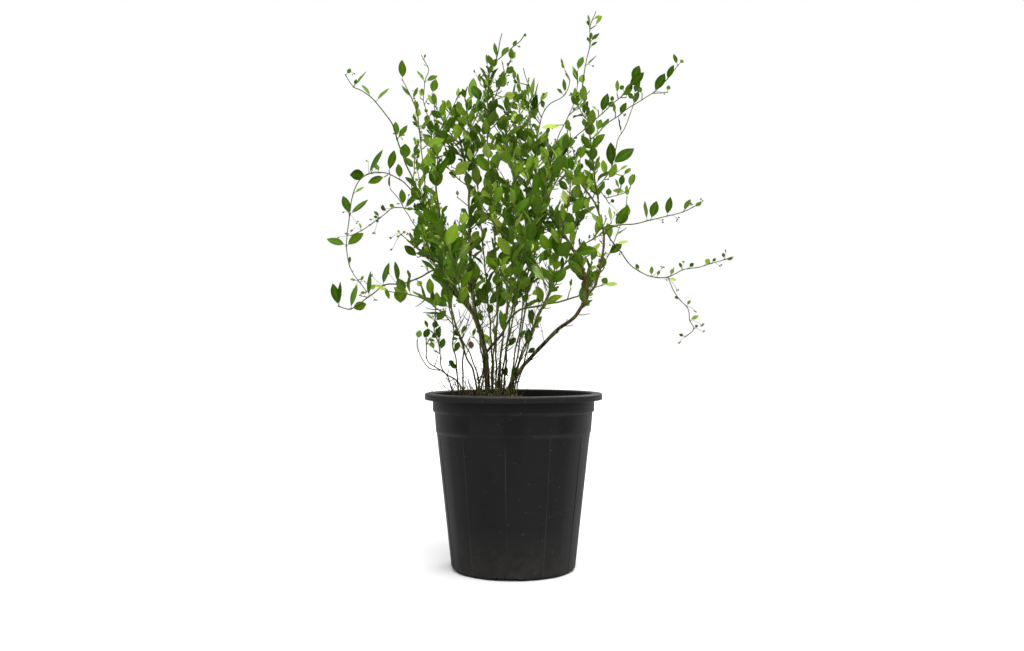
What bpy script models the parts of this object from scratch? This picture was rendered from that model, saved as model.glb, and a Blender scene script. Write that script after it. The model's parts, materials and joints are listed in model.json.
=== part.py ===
"""A potted jojoba: a shrub of thin leafy stems standing in soil, in a dark tapered nursery pot.

Metres, +Z up, the front towards -Y. The origin is the centre of the pot's underside.
"""

import math
import random
from dataclasses import dataclass

import bmesh
import bpy
from mathutils import Matrix, Vector
from mathutils.bvhtree import BVHTree
from mathutils.geometry import intersect_point_line

MM = 0.001

# Pot
POT_HEIGHT = 0.244
LIP_RADIUS = 0.124
LIP_DROP = 0.009
COLLAR_RADIUS = 0.113
COLLAR_FOOT = 0.2195
BAND_RADIUS = 0.1104
BAND_FOOT = 0.1905
WALL_TOP_RADIUS = 0.1074
BASE_RADIUS = 0.0868
BASE_ROUNDING = 0.004
STEP_DROP = 0.002
BAND_FOOT_RADIUS = 0.1083
LIP_BEVEL = 0.0012
WALL = 0.002
FLOOR = 0.003
POT_COLOUR = (0.018, 0.019, 0.020)
POT_ROUGHNESS = 0.42
PANELS = 11
COLUMNS_PER_PANEL = 5
FIRST_RIDGE = math.radians(-6)
RIDGE_HEIGHT = 0.0006
RIDGE_HALF_WIDTH = math.radians(0.9)
NOTCHES = 5
NOTCH_WIDTH = 0.030
NOTCH_HEIGHT = 0.0042
NOTCH_DEPTH = 0.019

# Soil
GAP = 0.0003
SOIL_SIDE_GAP = 0.0011
SOIL_TOP_FLARE = 0.0015
SOIL_EDGE_DROP = 0.001
SOIL_LEVEL = 0.224
SOIL_SIDES = 24
SOIL_RINGS = 5
MOUND_HEIGHT = 0.016
MOUND_SPREAD = 0.030
MOUND_CENTRE = Vector((-0.030, -0.002, 0))
SOIL_WAVE_HEIGHT = 0.0012
SOIL_WAVES_ACROSS = 95
SOIL_WAVES_BACK = 80
STEM_FOOT = 0.196
HOLE_GAP = 0.0004
HOLE_REACH = 0.012
SOIL_COLOUR = (0.045, 0.028, 0.017)
SOIL_ROUGHNESS = 0.95

# Leaves and side shoots
LEAF_LENGTH = 0.031
LEAF_SHAPE = 0.44
LEAF_THICKNESS = 0.0007
LEAF_ANGLE = math.radians(52)
LEAF_SPACING = 0.064
LEAF_ROLL = 1.2
LENGTH_DRAW = (0.82, 1.14)
WIDTH_DRAW = (0.88, 1.12)
UPTURN = 0.3
UPTURN_DRAW = (0.6, 1.3)
MOST_UPTURN = 0.9
FIRST_SWING = 0.35
SWING_STEP = 0.2
LEAF_COLOUR = (0.075, 0.200, 0.030)
LEAF_ROUGHNESS = 0.5
BARE_BELOW = 0.36
FIRST_LEAF = 0.010
TIP_INSET = 0.001
TIP_LEAF_ANGLE = math.radians(18)
TIP_LEAF_SHRINK = 0.3
LEAF_CORNERS = ((0, 0), (0.3, 0.92), (0.68, 0.8), (1, 0), (0.68, -0.8), (0.3, -0.92))
SHOOT_RADIUS = 0.0009
SHOOT_TIP = 0.0007
SHOOT_LENGTH = (0.038, 0.070)
SHOOT_ANGLE = math.radians(50)
SHOOT_RISE = 0.25
SHOOT_PLACES = (0.45, 0.9)
SHOOT_SHARES = (0, 0.3, 0.65, 1)
SHOOT_LEAF = 0.85
CLEARANCE = 0.0008
TRIES = 8
TRACED_LEAN = 0.13
TRACED_REACH = 0.014
PAIR_REACH = 0.004
FOOT_REACH = 3.5
TWIG_RISE = 0.8
GAP_SHARES = (0.35, 0.7, 1)
TWIG_DEPTHS = (0, -6, 6, -12, 12)

# Stems
CURVE_STEP = 0.003
ROUTE_TOLERANCE = 0.0019
THICK_STEM = 0.0025
THICK_SIDES = 6
THIN_SIDES = 3
SHELL_SIDES = 6
UP = Vector((0, 0, 1))
NEAR_UPRIGHT = 0.05

# Meshes
WELD = 1e-5
SHARP_FROM = math.radians(35)

# Front view that the stems are traced in: an eye this far in front of the pot's axis and this high.
# A traced point is (across, down, behind): view units across and down, and mm behind the pot's axis.
EYE_DISTANCE = 1.402
EYE_HEIGHT = 0.3074
VIEW_UNIT = 0.001404
AXIS_ACROSS = 513.5
HORIZON_DOWN = 347.4


@dataclass
class Stem:
    """One traced stem: radii in mm, the height below which it is bare, and its leaves' relative size."""

    name: str
    parent: str
    root: float
    tip: float
    route: tuple
    bare: float = BARE_BELOW
    leaf: float = 1.0
    upturn: float = UPTURN
    shoots: int = 0


STEMS = (
    Stem("trunk", "", 4.6, 1.2, (
        (488, 414, 0), (487, 375, 0), (485, 352, 0), (480, 332, -4), (473, 314, -10), (463, 301, -18),
        (452, 292, -26), (446, 281, -34), (442, 266, -40), (430, 258, -46), (418, 249, -52),
        (407, 240, -55),
    ), bare=0.42, shoots=1),
    Stem("trunk_right_arm", "trunk", 2.2, 0.9, (
        (485, 354, 0), (494, 343, 5), (502, 333, 9), (510, 319, 13), (519, 310, 15), (537, 306, 16),
        (556, 302, 17), (572, 298, 18), (582, 293, 20), (588, 280, 24), (592, 262, 28),
    ), bare=0.385),
    Stem("trunk_middle_arm", "trunk", 2.6, 0.9, (
        (480, 333, -4), (477, 316, 4), (474, 300, 12), (471, 283, 18), (470, 262, 22), (470, 235, 24),
        (469, 205, 24), (467, 175, 22), (461, 145, 20), (453, 118, 18),
    ), bare=0.38, shoots=1),
    Stem("trunk_upper_arm", "trunk", 2.0, 0.7, (
        (446, 282, -34), (444, 262, -26), (436, 235, -20), (424, 206, -18), (413, 180, -20),
        (404, 160, -24), (397, 140, -28), (391, 122, -32), (375, 100, -38), (361, 90, -42),
        (352, 86, -44), (344, 73, -46),
    ), leaf=0.9, upturn=0.45),
    Stem("trunk_low_arm", "trunk", 1.4, 0.8, (
        (443, 268, -40), (432, 271, -52), (420, 277, -62), (408, 282, -70), (396, 284, -76),
        (383, 286, -80), (370, 295, -82), (360, 303, -82), (350, 309, -80), (338, 306, -78),
    ), bare=0.0, upturn=0.75),
    Stem("right_branch", "", 3.0, 1.5, (
        (501, 414, -4), (510, 386, -8), (522, 368, -11), (538, 350, -16), (557, 330, -20),
        (569, 321, -22), (577, 314, -22), (583, 303, -22), (588, 294, -22), (585, 278, -18),
        (580, 262, -12), (572, 248, -6), (561, 231, 0), (551, 217, 6), (539, 207, 12), (525, 198, 19),
        (511, 187, 25), (498, 176, 30), (486, 167, 34),
    ), bare=0.40, shoots=1),
    Stem("right_fork", "right_branch", 2.1, 1.0, (
        (588, 295, -22), (595, 286, -28), (600, 270, -32), (603, 250, -34), (603, 232, -34),
        (599, 213, -30), (592, 198, -26), (583, 186, -22), (573, 175, -19), (561, 167, -16),
        (549, 158, -14),
    ), bare=0.385, shoots=1),
    Stem("right_leader", "right_fork", 1.2, 0.7, (
        (599, 213, -30), (597, 192, -38), (594, 168, -44), (591, 140, -48), (587, 112, -50),
        (583, 92, -50), (584, 76, -50), (587, 60, -50), (590, 42, -50), (591, 24, -50), (596, 9, -50),
    ), leaf=0.85, upturn=0.45),
    Stem("right_comb", "right_fork", 1.1, 0.7, (
        (603, 236, -34), (611, 228, -46), (625, 224, -60), (638, 223, -70), (651, 219, -78),
        (668, 215, -84), (684, 211, -86), (701, 202, -86),
    ), bare=0.0, leaf=0.95, upturn=0.75),
    Stem("right_droop", "right_fork", 1.1, 0.7, (
        (602, 226, -32), (609, 236, -20), (618, 248, -10), (630, 264, 0), (640, 272, 6), (652, 277, 10),
        (668, 276, 12), (684, 270, 14), (705, 265, 14), (724, 260, 12), (732, 257, 12),
    ), bare=0.0, leaf=0.6, upturn=0.5),
    Stem("droop_tassel", "right_droop", 0.8, 0.7, (
        (668, 276, 12), (674, 290, 14), (680, 300, 15), (688, 308, 15), (690, 320, 14), (694, 329, 12),
        (685, 337, 10),
    ), bare=0.0, leaf=0.5, upturn=0.2),
    Stem("right_riser", "right_fork", 1.0, 0.7, (
        (592, 199, -26), (597, 188, -14), (605, 178, 0), (611, 169, 5), (614, 157, 8), (617, 146, 12),
        (619, 138, 15), (627, 122, 22), (633, 106, 28), (635, 92, 30),
    ), leaf=0.95),
    Stem("right_cluster", "right_riser", 0.8, 0.7, (
        (597, 188, -14), (602, 192, -9), (607, 197, -5), (613, 196, -2), (621, 194, 0), (628, 191, 2),
        (631, 186, 3),
    ), bare=0.0, leaf=0.5),
    Stem("upper_arch", "", 1.8, 0.7, (
        (503, 414, 12), (505, 370, 15), (508, 335, 19), (514, 300, 25), (524, 262, 33), (537, 225, 41),
        (551, 192, 47), (566, 166, 51), (580, 149, 53), (593, 137, 55), (607, 124, 56), (621, 113, 57),
        (637, 102, 57), (655, 91, 56), (667, 79, 55), (680, 62, 53),
    ), upturn=0.5, shoots=1),
    Stem("inner_arch", "", 1.7, 0.7, (
        (500, 414, -18), (500, 370, -25), (503, 335, -34), (510, 300, -45), (520, 265, -57),
        (533, 228, -69), (547, 190, -79), (560, 158, -87), (573, 139, -91), (590, 123, -94),
        (605, 110, -96), (620, 97, -97), (633, 81, -97),
    ), upturn=0.45, shoots=1),
    Stem("tall_back_right", "", 1.6, 0.7, (
        (510, 414, 26), (515, 370, 34), (521, 335, 44), (527, 300, 56), (533, 262, 68), (539, 225, 78),
        (546, 185, 86), (554, 150, 91), (563, 126, 94), (572, 107, 95), (577, 90, 95), (578, 69, 94),
    ), shoots=1),
    Stem("top_middle", "", 1.7, 0.7, (
        (496, 414, -8), (496, 370, -13), (497, 335, -18), (497, 300, -22), (496, 262, -26),
        (494, 225, -29), (491, 190, -31), (488, 150, -32), (487, 115, -32), (488, 85, -32),
        (491, 67, -32), (500, 56, -32), (511, 47, -32), (519, 40, -32), (524, 33, -32),
    ), leaf=0.9, upturn=0.4, shoots=1),
    Stem("left_long", "", 1.7, 0.7, (
        (479, 414, -14), (475, 378, -21), (468, 360, -28), (461, 342, -35), (454, 320, -42),
        (449, 300, -50), (445, 276, -58), (439, 250, -66), (432, 220, -74), (426, 190, -81),
        (422, 160, -86), (419, 135, -90), (417, 114, -92), (411, 98, -93), (401, 78, -93),
    ), shoots=1),
    Stem("left_low", "", 1.3, 0.7, (
        (482, 414, -30), (478, 378, -40), (470, 354, -50), (461, 338, -58), (452, 323, -66),
        (441, 312, -72), (430, 303, -78), (419, 298, -84), (405, 294, -90), (388, 291, -95),
    ), bare=0.34, upturn=0.4),
    Stem("low_left_elbow", "", 1.5, 0.7, (
        (473, 414, -14), (460, 385, -28), (446, 374, -42), (435, 367, -52), (427, 360, -58),
        (426, 348, -62), (426, 338, -64),
    ), bare=0.305, leaf=0.75),
    Stem("low_left_elbow_tip", "low_left_elbow", 0.9, 0.7, (
        (440, 371, -46), (428, 367, -42), (421, 357, -40), (418, 348, -40), (417, 339, -40),
    ), bare=0.30, leaf=0.6),
    Stem("low_left_upright", "", 1.3, 0.7, (
        (457, 414, -8), (450, 383, -20), (442, 367, -30), (440, 352, -38), (437, 340, -44),
        (434, 328, -48), (435, 314, -50), (436, 301, -50),
    ), bare=0.30, leaf=0.75),
    Stem("left_back", "", 1.4, 0.7, (
        (461, 414, 20), (458, 384, 29), (456, 362, 38), (453, 344, 46), (454, 331, 52), (451, 315, 59),
        (447, 298, 67), (438, 272, 78), (427, 247, 90), (414, 224, 100), (402, 205, 108), (390, 188, 114),
    )),
    Stem("left_crown", "", 1.5, 0.7, (
        (467, 414, 6), (463, 384, 13), (463, 362, 20), (464, 348, 26), (461, 338, 31), (455, 324, 37),
        (451, 306, 45), (452, 284, 54), (450, 252, 65), (441, 217, 75), (435, 180, 83), (434, 145, 88),
        (434, 115, 91), (432, 92, 92),
    ), shoots=1),
    Stem("left_arch", "", 1.7, 0.7, (
        (476, 414, 34), (479, 385, 44), (484, 362, 52), (482, 340, 59), (474, 317, 67), (463, 299, 73),
        (450, 276, 78), (439, 241, 86), (426, 210, 90), (411, 189, 90), (398, 178, 88), (384, 172, 84),
        (368, 173, 78), (357, 182, 72), (351, 198, 68), (349, 216, 66), (346, 245, 64), (349, 265, 63),
        (358, 280, 62), (366, 292, 62),
    ), upturn=0.45),
    Stem("left_arch_twig", "left_arch", 0.9, 0.7, (
        (426, 210, 90), (412, 208, 78), (401, 207, 70), (390, 209, 64), (378, 219, 60), (362, 230, 56),
        (350, 235, 54),
    ), bare=0.0, leaf=0.5),
    Stem("top_left", "", 1.6, 0.7, (
        (487, 414, 24), (485, 378, 33), (481, 346, 43), (475, 310, 56), (467, 270, 69), (456, 246, 77),
        (442, 222, 84), (436, 192, 90), (434, 160, 96), (430, 128, 101), (424, 102, 103), (424, 82, 103),
        (428, 68, 102), (421, 53, 100),
    ), leaf=0.9, shoots=1),
    Stem("front_middle", "", 1.6, 0.7, (
        (497, 414, -36), (499, 372, -58), (503, 336, -82), (508, 300, -106), (512, 264, -128),
        (514, 230, -146), (514, 196, -160), (511, 166, -170), (506, 140, -178),
    ), shoots=2),
    Stem("front_left", "", 1.5, 0.7, (
        (487, 414, -38), (487, 386, -56), (486, 362, -74), (481, 338, -92), (473, 317, -105),
        (462, 298, -116), (453, 264, -132), (441, 234, -148), (437, 202, -161), (436, 178, -170),
        (437, 156, -178),
    ), shoots=1),
    Stem("front_right", "", 1.6, 0.7, (
        (508, 414, -24), (513, 380, -46), (520, 358, -60), (527, 340, -74), (536, 321, -89),
        (545, 303, -102), (554, 272, -122), (562, 238, -140), (568, 204, -154), (572, 172, -164),
    ), shoots=1),
    Stem("back_middle", "", 1.6, 0.7, (
        (493, 414, 42), (493, 374, 62), (495, 338, 86), (499, 300, 112), (505, 262, 136), (511, 224, 156),
        (516, 187, 172), (519, 150, 184), (520, 116, 192), (519, 92, 196),
    ), shoots=2),
    Stem("back_left", "", 1.5, 0.7, (
        (481, 414, 46), (482, 386, 61), (486, 362, 76), (484, 341, 92), (476, 320, 107), (464, 300, 121),
        (444, 268, 142), (430, 228, 160), (422, 194, 174), (416, 162, 184),
    ), shoots=1),
    Stem("back_right", "", 1.6, 0.7, (
        (512, 414, 15), (516, 380, 21), (520, 361, 28), (525, 349, 43), (530, 336, 62), (534, 323, 79),
        (542, 308, 94), (562, 272, 118), (576, 232, 138), (586, 194, 154), (593, 158, 166),
        (598, 130, 172),
    ), shoots=1),
    Stem("centre_tall", "", 1.7, 0.7, (
        (499, 414, 4), (503, 366, 7), (511, 326, 7), (518, 286, 6), (523, 246, 6), (526, 206, 8),
        (527, 166, 9), (528, 126, 9), (531, 98, 9),
    ), shoots=2),
    Stem("centre_left", "", 1.7, 0.7, (
        (491, 414, 15), (492, 372, 20), (491, 336, 25), (488, 300, 30), (485, 262, 34), (481, 225, 37),
        (477, 185, 39), (473, 145, 40), (471, 116, 40), (471, 98, 40),
    ), shoots=2),
    Stem("right_low", "", 1.4, 0.7, (
        (515, 414, -14), (515, 386, -21), (522, 367, -29), (526, 354, -36), (530, 340, -44),
        (535, 324, -53), (542, 308, -62), (551, 288, -72), (563, 266, -84), (579, 248, -95),
        (597, 236, -104), (612, 222, -110),
    )),
    Stem("low_back_right", "", 1.4, 0.7, (
        (516, 414, 32), (518, 382, 50), (526, 364, 64), (541, 347, 80), (558, 330, 97), (575, 315, 110),
        (586, 297, 123), (598, 275, 136), (611, 250, 148), (622, 222, 156), (628, 196, 160),
    )),
    Stem("centre_right", "", 1.6, 0.7, (
        (507, 414, 6), (513, 368, 14), (520, 328, 21), (526, 288, 25), (532, 248, 26), (535, 208, 28),
        (536, 168, 27), (538, 132, 24), (547, 105, 20), (564, 95, 19), (570, 80, 19), (565, 68, 19),
    ), shoots=2),
)

# Leaves traced in the same view: where each one's foot and tip are, across and down, and its width as seen
TRACED_LEAVES = (
    # The upper left arm and the tips on the left
    (344, 74, 350, 67, 4), (352, 86, 365, 70, 3), (352, 86, 355, 78, 3), (370, 96, 361, 83, 3),
    (377, 98, 388, 85, 3), (397, 137, 396, 120, 6), (398, 138, 408, 124, 5), (400, 77, 401, 58, 8),
    (408, 98, 400, 84, 4), (412, 99, 417, 86, 3), (417, 110, 414, 99, 4), (425, 81, 417, 68, 3),
    (427, 81, 437, 73, 5), (420, 96, 423, 86, 5), (432, 91, 436, 77, 8), (400, 112, 398, 104, 3),
    # The left side
    (405, 160, 406, 142, 11), (389, 170, 394, 149, 8), (368, 174, 383, 149, 4), (379, 175, 374, 161, 5),
    (366, 174, 349, 174, 11), (384, 176, 367, 182, 7), (356, 194, 364, 186, 3), (400, 178, 398, 163, 7),
    (417, 157, 418, 147, 4), (425, 145, 444, 138, 9), (451, 166, 451, 148, 9),
    (453, 176, 469, 161, 11), (433, 188, 432, 166, 10), (438, 188, 442, 170, 8),
    (467, 188, 466, 171, 8), (402, 206, 402, 188, 7), (405, 206, 418, 192, 6), (428, 208, 435, 192, 6),
    (426, 196, 425, 184, 7), (347, 245, 327, 238, 7), (347, 246, 363, 231, 8), (350, 215, 343, 195, 8),
    (350, 214, 368, 199, 5),
    # The low left arm
    (410, 282, 408, 269, 3), (397, 284, 396, 260, 5), (383, 286, 388, 263, 5), (385, 287, 389, 301, 4),
    (368, 296, 369, 270, 5), (350, 309, 355, 283, 5), (350, 310, 366, 303, 9), (338, 306, 332, 283, 9),
    (338, 305, 340, 281, 4), (400, 285, 400, 302, 13), (416, 280, 421, 286, 6),
    # The tips at the top, from the left to the middle
    (490, 66, 495, 51, 5), (497, 56, 494, 40, 4), (500, 56, 509, 45, 5), (512, 47, 517, 39, 4),
    (522, 36, 526, 31, 3), (487, 64, 486, 52, 2), (480, 82, 479, 72, 3), (465, 81, 457, 72, 3),
    (471, 100, 473, 76, 9), (486, 92, 486, 78, 4), (500, 87, 503, 68, 5), (497, 90, 497, 76, 3),
    (514, 79, 514, 68, 4), (513, 100, 514, 77, 3), (502, 96, 515, 94, 8),
    (531, 100, 534, 77, 5), (540, 101, 547, 89, 5), (538, 96, 539, 80, 2),
    (565, 124, 541, 126, 4),
    # The tips at the top, from the middle to the right
    (570, 79, 565, 71, 2), (565, 92, 563, 77, 4), (564, 94, 557, 87, 3), (575, 79, 572, 64, 4),
    (578, 68, 583, 54, 6), (582, 84, 583, 73, 6), (574, 106, 578, 89, 10),
    (581, 101, 583, 88, 5), (588, 116, 588, 105, 4), (598, 109, 592, 105, 2),
    (602, 112, 607, 91, 8), (613, 103, 616, 112, 3), (618, 92, 618, 78, 4), (620, 114, 627, 101, 6),
    (627, 96, 632, 80, 7), (633, 80, 640, 64, 9), (585, 128, 584, 117, 5), (570, 132, 569, 124, 4),
    (601, 130, 609, 117, 4), (594, 139, 600, 131, 4), (579, 159, 585, 144, 7),
    (583, 146, 583, 131, 4), (560, 146, 576, 139, 7), (592, 169, 591, 155, 3),
    (634, 104, 640, 90, 6), (655, 91, 666, 72, 9), (668, 79, 673, 64, 6), (679, 64, 674, 52, 4),
    (680, 63, 684, 58, 4), (595, 18, 602, 13, 3), (592, 26, 588, 18, 3), (590, 42, 586, 34, 3),
    (590, 46, 596, 38, 3),
    # The right side
    (647, 218, 644, 200, 3), (651, 219, 657, 200, 9), (667, 215, 671, 196, 7.5), (683, 210, 690, 197, 5),
    (694, 208, 702, 201, 4), (617, 227, 629, 214, 8), (628, 219, 628, 204, 7), (612, 223, 609, 206, 3),
    (609, 241, 608, 222, 8), (606, 253, 622, 242, 8), (616, 243, 629, 240, 3),
    (604, 285, 618, 284, 4), (592, 286, 594, 270, 6), (602, 287, 607, 278, 7),
    (571, 248, 573, 228, 6), (583, 191, 580, 171, 9), (587, 190, 593, 171, 9),
    (591, 192, 597, 184, 8), (570, 208, 563, 189, 8), (572, 215, 584, 196, 10), (562, 223, 568, 213, 7),
    (615, 164, 634, 147, 11), (612, 167, 610, 143, 10), (598, 170, 600, 161, 3),
    (621, 186, 622, 174, 5), (631, 188, 633, 173, 6), (627, 192, 613, 189, 5),
    (610, 203, 615, 199, 4), (584, 255, 584, 240, 7), (590, 255, 600, 242, 5),
    (609, 179, 617, 165, 8), (619, 170, 628, 164, 3), (605, 175, 603, 159, 6),
    (608, 197, 609, 187, 6), (617, 188, 615, 178, 3),
    # The drooping arm and its tassel
    (639, 272, 636, 264, 4), (651, 275, 652, 266, 4), (657, 276, 660, 269, 3), (670, 276, 673, 268, 4),
    (668, 278, 677, 280, 3), (683, 271, 680, 263, 3), (689, 270, 694, 263, 4), (705, 266, 710, 258, 6),
    (712, 264, 716, 257, 3), (725, 260, 733, 258, 3), (725, 260, 723, 252, 3), (691, 320, 699, 315, 4),
    (694, 329, 698, 325, 3), (680, 300, 675, 296, 3), (686, 307, 690, 300, 3), (685, 337, 679, 334, 3),
    # The middle
    (545, 283, 533, 262, 8), (545, 289, 551, 301, 9), (531, 295, 541, 290, 6),
    (571, 288, 571, 278, 3), (555, 286, 552, 270, 5), (464, 228, 464, 211, 9), (469, 232, 479, 217, 7),
    (479, 210, 478, 190, 12), (548, 252, 558, 229, 9), (548, 267, 559, 250, 9),
    (541, 262, 552, 249, 9), (545, 252, 541, 233, 10), (567, 262, 566, 245, 6),
    (562, 272, 563, 256, 4), (574, 270, 571, 252, 8), (591, 285, 589, 266, 7),
    (597, 284, 597, 268, 6), (417, 243, 418, 223, 8), (417, 257, 404, 245, 8),
    (459, 270, 459, 252, 11), (455, 288, 458, 273, 10), (477, 281, 476, 263, 8),
    (445, 222, 444, 212, 3),
    # The lower stems
    (430, 296, 429, 278, 8), (435, 309, 437, 292, 9), (435, 322, 446, 310, 7),
    (433, 331, 436, 320, 6), (434, 321, 426, 313, 3), (428, 329, 425, 320, 3),
    (417, 340, 420, 330, 6), (426, 339, 427, 329, 7), (438, 338, 440, 326, 5),
    (439, 351, 444, 338, 6), (434, 350, 431, 341, 4), (456, 366, 448, 361, 5),
    (460, 341, 454, 352, 5), (460, 339, 451, 339, 3), (458, 339, 454, 331, 4),
    (462, 336, 465, 325, 3), (470, 338, 472, 349, 6), (492, 316, 490, 305, 7),
    (475, 326, 473, 336, 3), (497, 309, 504, 293, 10), (504, 332, 502, 309, 8),
    (508, 348, 517, 338, 5), (521, 341, 522, 333, 4), (527, 346, 529, 328, 8),
    (532, 327, 528, 308, 5), (534, 329, 538, 319, 5), (529, 355, 535, 348, 5),
    (509, 378, 517, 368, 6), (506, 379, 507, 366, 5), (541, 312, 546, 302, 4),
    (538, 304, 541, 291, 6), (513, 297, 512, 286, 6), (482, 305, 470, 298, 6),
    (484, 301, 491, 288, 8), (485, 300, 484, 283, 7),
)

# Gaps in the crown, seen from the front: where each one is, across and down, and its radius
GAPS = (
    (412, 70, 9), (446, 76, 11), (552, 82, 12), (553, 108, 8), (545, 62, 13), (525, 68, 7), (597, 85, 9),
    (596, 62, 9), (570, 45, 14), (406, 108, 5), (448, 192, 9), (453, 207, 6), (462, 199, 7),
    (487, 222, 4), (385, 193, 9), (393, 222, 12), (404, 222, 6), (383, 243, 14), (418, 266, 6),
    (489, 246, 4), (482, 268, 4), (557, 190, 7), (583, 229, 7), (592, 222, 6), (565, 237, 5),
    (615, 266, 8), (611, 212, 4), (550, 312, 7), (566, 284, 9), (578, 282, 5), (455, 302, 6),
    (506, 171, 9), (425, 158, 4), (361, 112, 20), (330, 82, 20), (375, 130, 16), (640, 140, 14),
    (655, 120, 18), (360, 250, 10), (430, 190, 3), (503, 28, 10), (480, 45, 10), (415, 44, 11),
    (588, 26, 12), (591, 46, 11), (600, 64, 9), (628, 122, 8), (645, 112, 9), (612, 135, 6),
    (597, 151, 5), (561, 134, 6), (575, 130, 5), (590, 138, 5), (408, 215, 7), (440, 199, 6),
    (388, 106, 12), (570, 300, 9), (528, 64, 9), (536, 16, 15), (527, 44, 11), (449, 312, 8),
    (452, 292, 5), (611, 262, 7),
)


@dataclass(eq=False)
class Branch:
    """A stem or side shoot in space: its line of straight runs, its radii, and what grows on it."""

    name: str
    node: str
    parent: object
    line: list
    root: float
    tip: float
    bare: float
    leaf: float
    upturn: float
    shoots: int

    def length(self):
        return sum((end - start).length for start, end in zip(self.line, self.line[1:]))

    def at(self, distance):
        """The point at this distance along the line, and the direction there."""
        for start, end in zip(self.line, self.line[1:]):
            run = (end - start).length
            if distance <= run:
                break
            distance -= run
        along = (end - start).normalized()
        return start + along * min(distance, run), along

    def radii(self):
        """The radius at each point of the line."""
        whole = self.length()
        passed = 0.0
        found = [self.root]
        for start, end in zip(self.line, self.line[1:]):
            passed += (end - start).length
            found.append(self.root + (self.tip - self.root) * passed / whole)
        return found


@dataclass(eq=False)
class Leaf:
    """A leaf: where it grows from, the ways it points and faces, its size, and its place on the branch."""

    branch: Branch
    root: Vector
    along: Vector
    facing: Vector
    length: float
    width: float
    distance: float


class Occupied:
    """What stands in the plant's space so far, so that nothing new grows through it."""

    def __init__(self):
        self.shapes = []

    def add(self, owner, shell, centre, reach):
        self.shapes.append((owner, BVHTree.FromPolygons(*shell), centre, reach))

    def meets(self, shell, centre, reach, apart_from):
        """Whether the shell crosses a shape whose owner isn't in `apart_from`."""
        tree = BVHTree.FromPolygons(*shell)
        for owner, other, other_centre, other_reach in self.shapes:
            if owner in apart_from or (other_centre - centre).length > reach + other_reach:
                continue
            if tree.overlap(other):
                return True
        return False


def placed(point):
    """The point in metres of a traced one: (across, down, behind)."""
    across, down, behind = point
    depth = behind * MM
    unit = VIEW_UNIT * (1 + depth / EYE_DISTANCE)
    return Vector(((across - AXIS_ACROSS) * unit, depth, EYE_HEIGHT - (down - HORIZON_DOWN) * unit))


def smooth(points):
    """Close points on a curve that passes through all the given ones."""
    ends = [2 * points[0] - points[1], *points, 2 * points[-1] - points[-2]]
    curve = [points[0]]
    for before, start, end, after in zip(ends, ends[1:], ends[2:], ends[3:]):
        steps = max(1, round((end - start).length / CURVE_STEP))
        for step in range(1, steps + 1):
            t = step / steps
            bend = (2 * before - 5 * start + 4 * end - after) * t**2
            twist = (3 * start - before - 3 * end + after) * t**3
            curve.append(0.5 * (2 * start + (end - before) * t + bend + twist))
    return curve


def straightened(points):
    """The few of the points whose straight runs stay close to all the rest."""
    start = points[0]
    end = points[-1]
    offsets = [(point - intersect_point_line(point, start, end)[0]).length for point in points[1:-1]]
    if not offsets or max(offsets) < ROUTE_TOLERANCE:
        return [start, end]
    split = offsets.index(max(offsets)) + 1
    return straightened(points[: split + 1])[:-1] + straightened(points[split:])


def across_directions(along):
    """Two directions square to this one and to each other, the first of them level."""
    level = along.cross(UP)
    if level.length < NEAR_UPRIGHT:
        level = Vector((1, 0, 0))
    level.normalize()
    return level, level.cross(along).normalized()


def tube_shell(line, radii, sides=SHELL_SIDES):
    """Points and faces of an open tube round a line, for finding what crosses it."""
    points = []
    for place, (here, radius) in enumerate(zip(line, radii)):
        along = line[min(place + 1, len(line) - 1)] - line[max(place - 1, 0)]
        first, second = across_directions(along.normalized())
        for side in range(sides):
            turn = math.tau * side / sides
            points.append(here + radius * (math.cos(turn) * first + math.sin(turn) * second))
    faces = []
    for ring in range(len(line) - 1):
        for side in range(sides):
            low = ring * sides
            after = (side + 1) % sides
            faces.append((low + side, low + after, low + sides + after, low + sides + side))
    return points, faces


def blade_corners(leaf, margin=0.0):
    """The six corners of a leaf's outline, from the root round by the tip."""
    across = leaf.facing.cross(leaf.along)
    corners = []
    for share, side in LEAF_CORNERS:
        half = side * (leaf.width / 2 + margin)
        run = share * (leaf.length + 2 * margin) - margin
        corners.append(leaf.root + leaf.along * run + across * half)
    return corners


def blade_shell(leaf, margin):
    """Points and faces of a leaf made thicker and wider all round, for finding what crosses it."""
    corners = blade_corners(leaf, margin)
    offset = leaf.facing * (LEAF_THICKNESS / 2 + margin)
    points = [corner + offset for corner in corners] + [corner - offset for corner in corners]
    count = len(corners)
    faces = [tuple(range(count)), tuple(range(count, 2 * count))]
    for corner in range(count):
        after = (corner + 1) % count
        faces.append((corner, after, count + after, count + corner))
    return points, faces


def middle_and_reach(points):
    """The middle of the points, and how far the furthest of them is."""
    middle = sum(points, Vector()) / len(points)
    return middle, max((point - middle).length for point in points)


def traced_branches():
    """The branches of the traced stems. Each that stands in the soil has its own node."""
    found = {}
    for stem in STEMS:
        route = [placed(point) for point in stem.route]
        parent = found.get(stem.parent)
        if not parent:
            route.insert(0, Vector((route[0].x, route[0].y, STEM_FOOT)))
        found[stem.name] = Branch(
            name=stem.name,
            node=parent.node if parent else f"stem_{stem.name}",
            parent=parent,
            line=straightened(smooth(route)),
            root=stem.root * MM,
            tip=stem.tip * MM,
            bare=stem.bare,
            leaf=stem.leaf,
            upturn=stem.upturn,
            shoots=stem.shoots,
        )
    return list(found.values())


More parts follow.
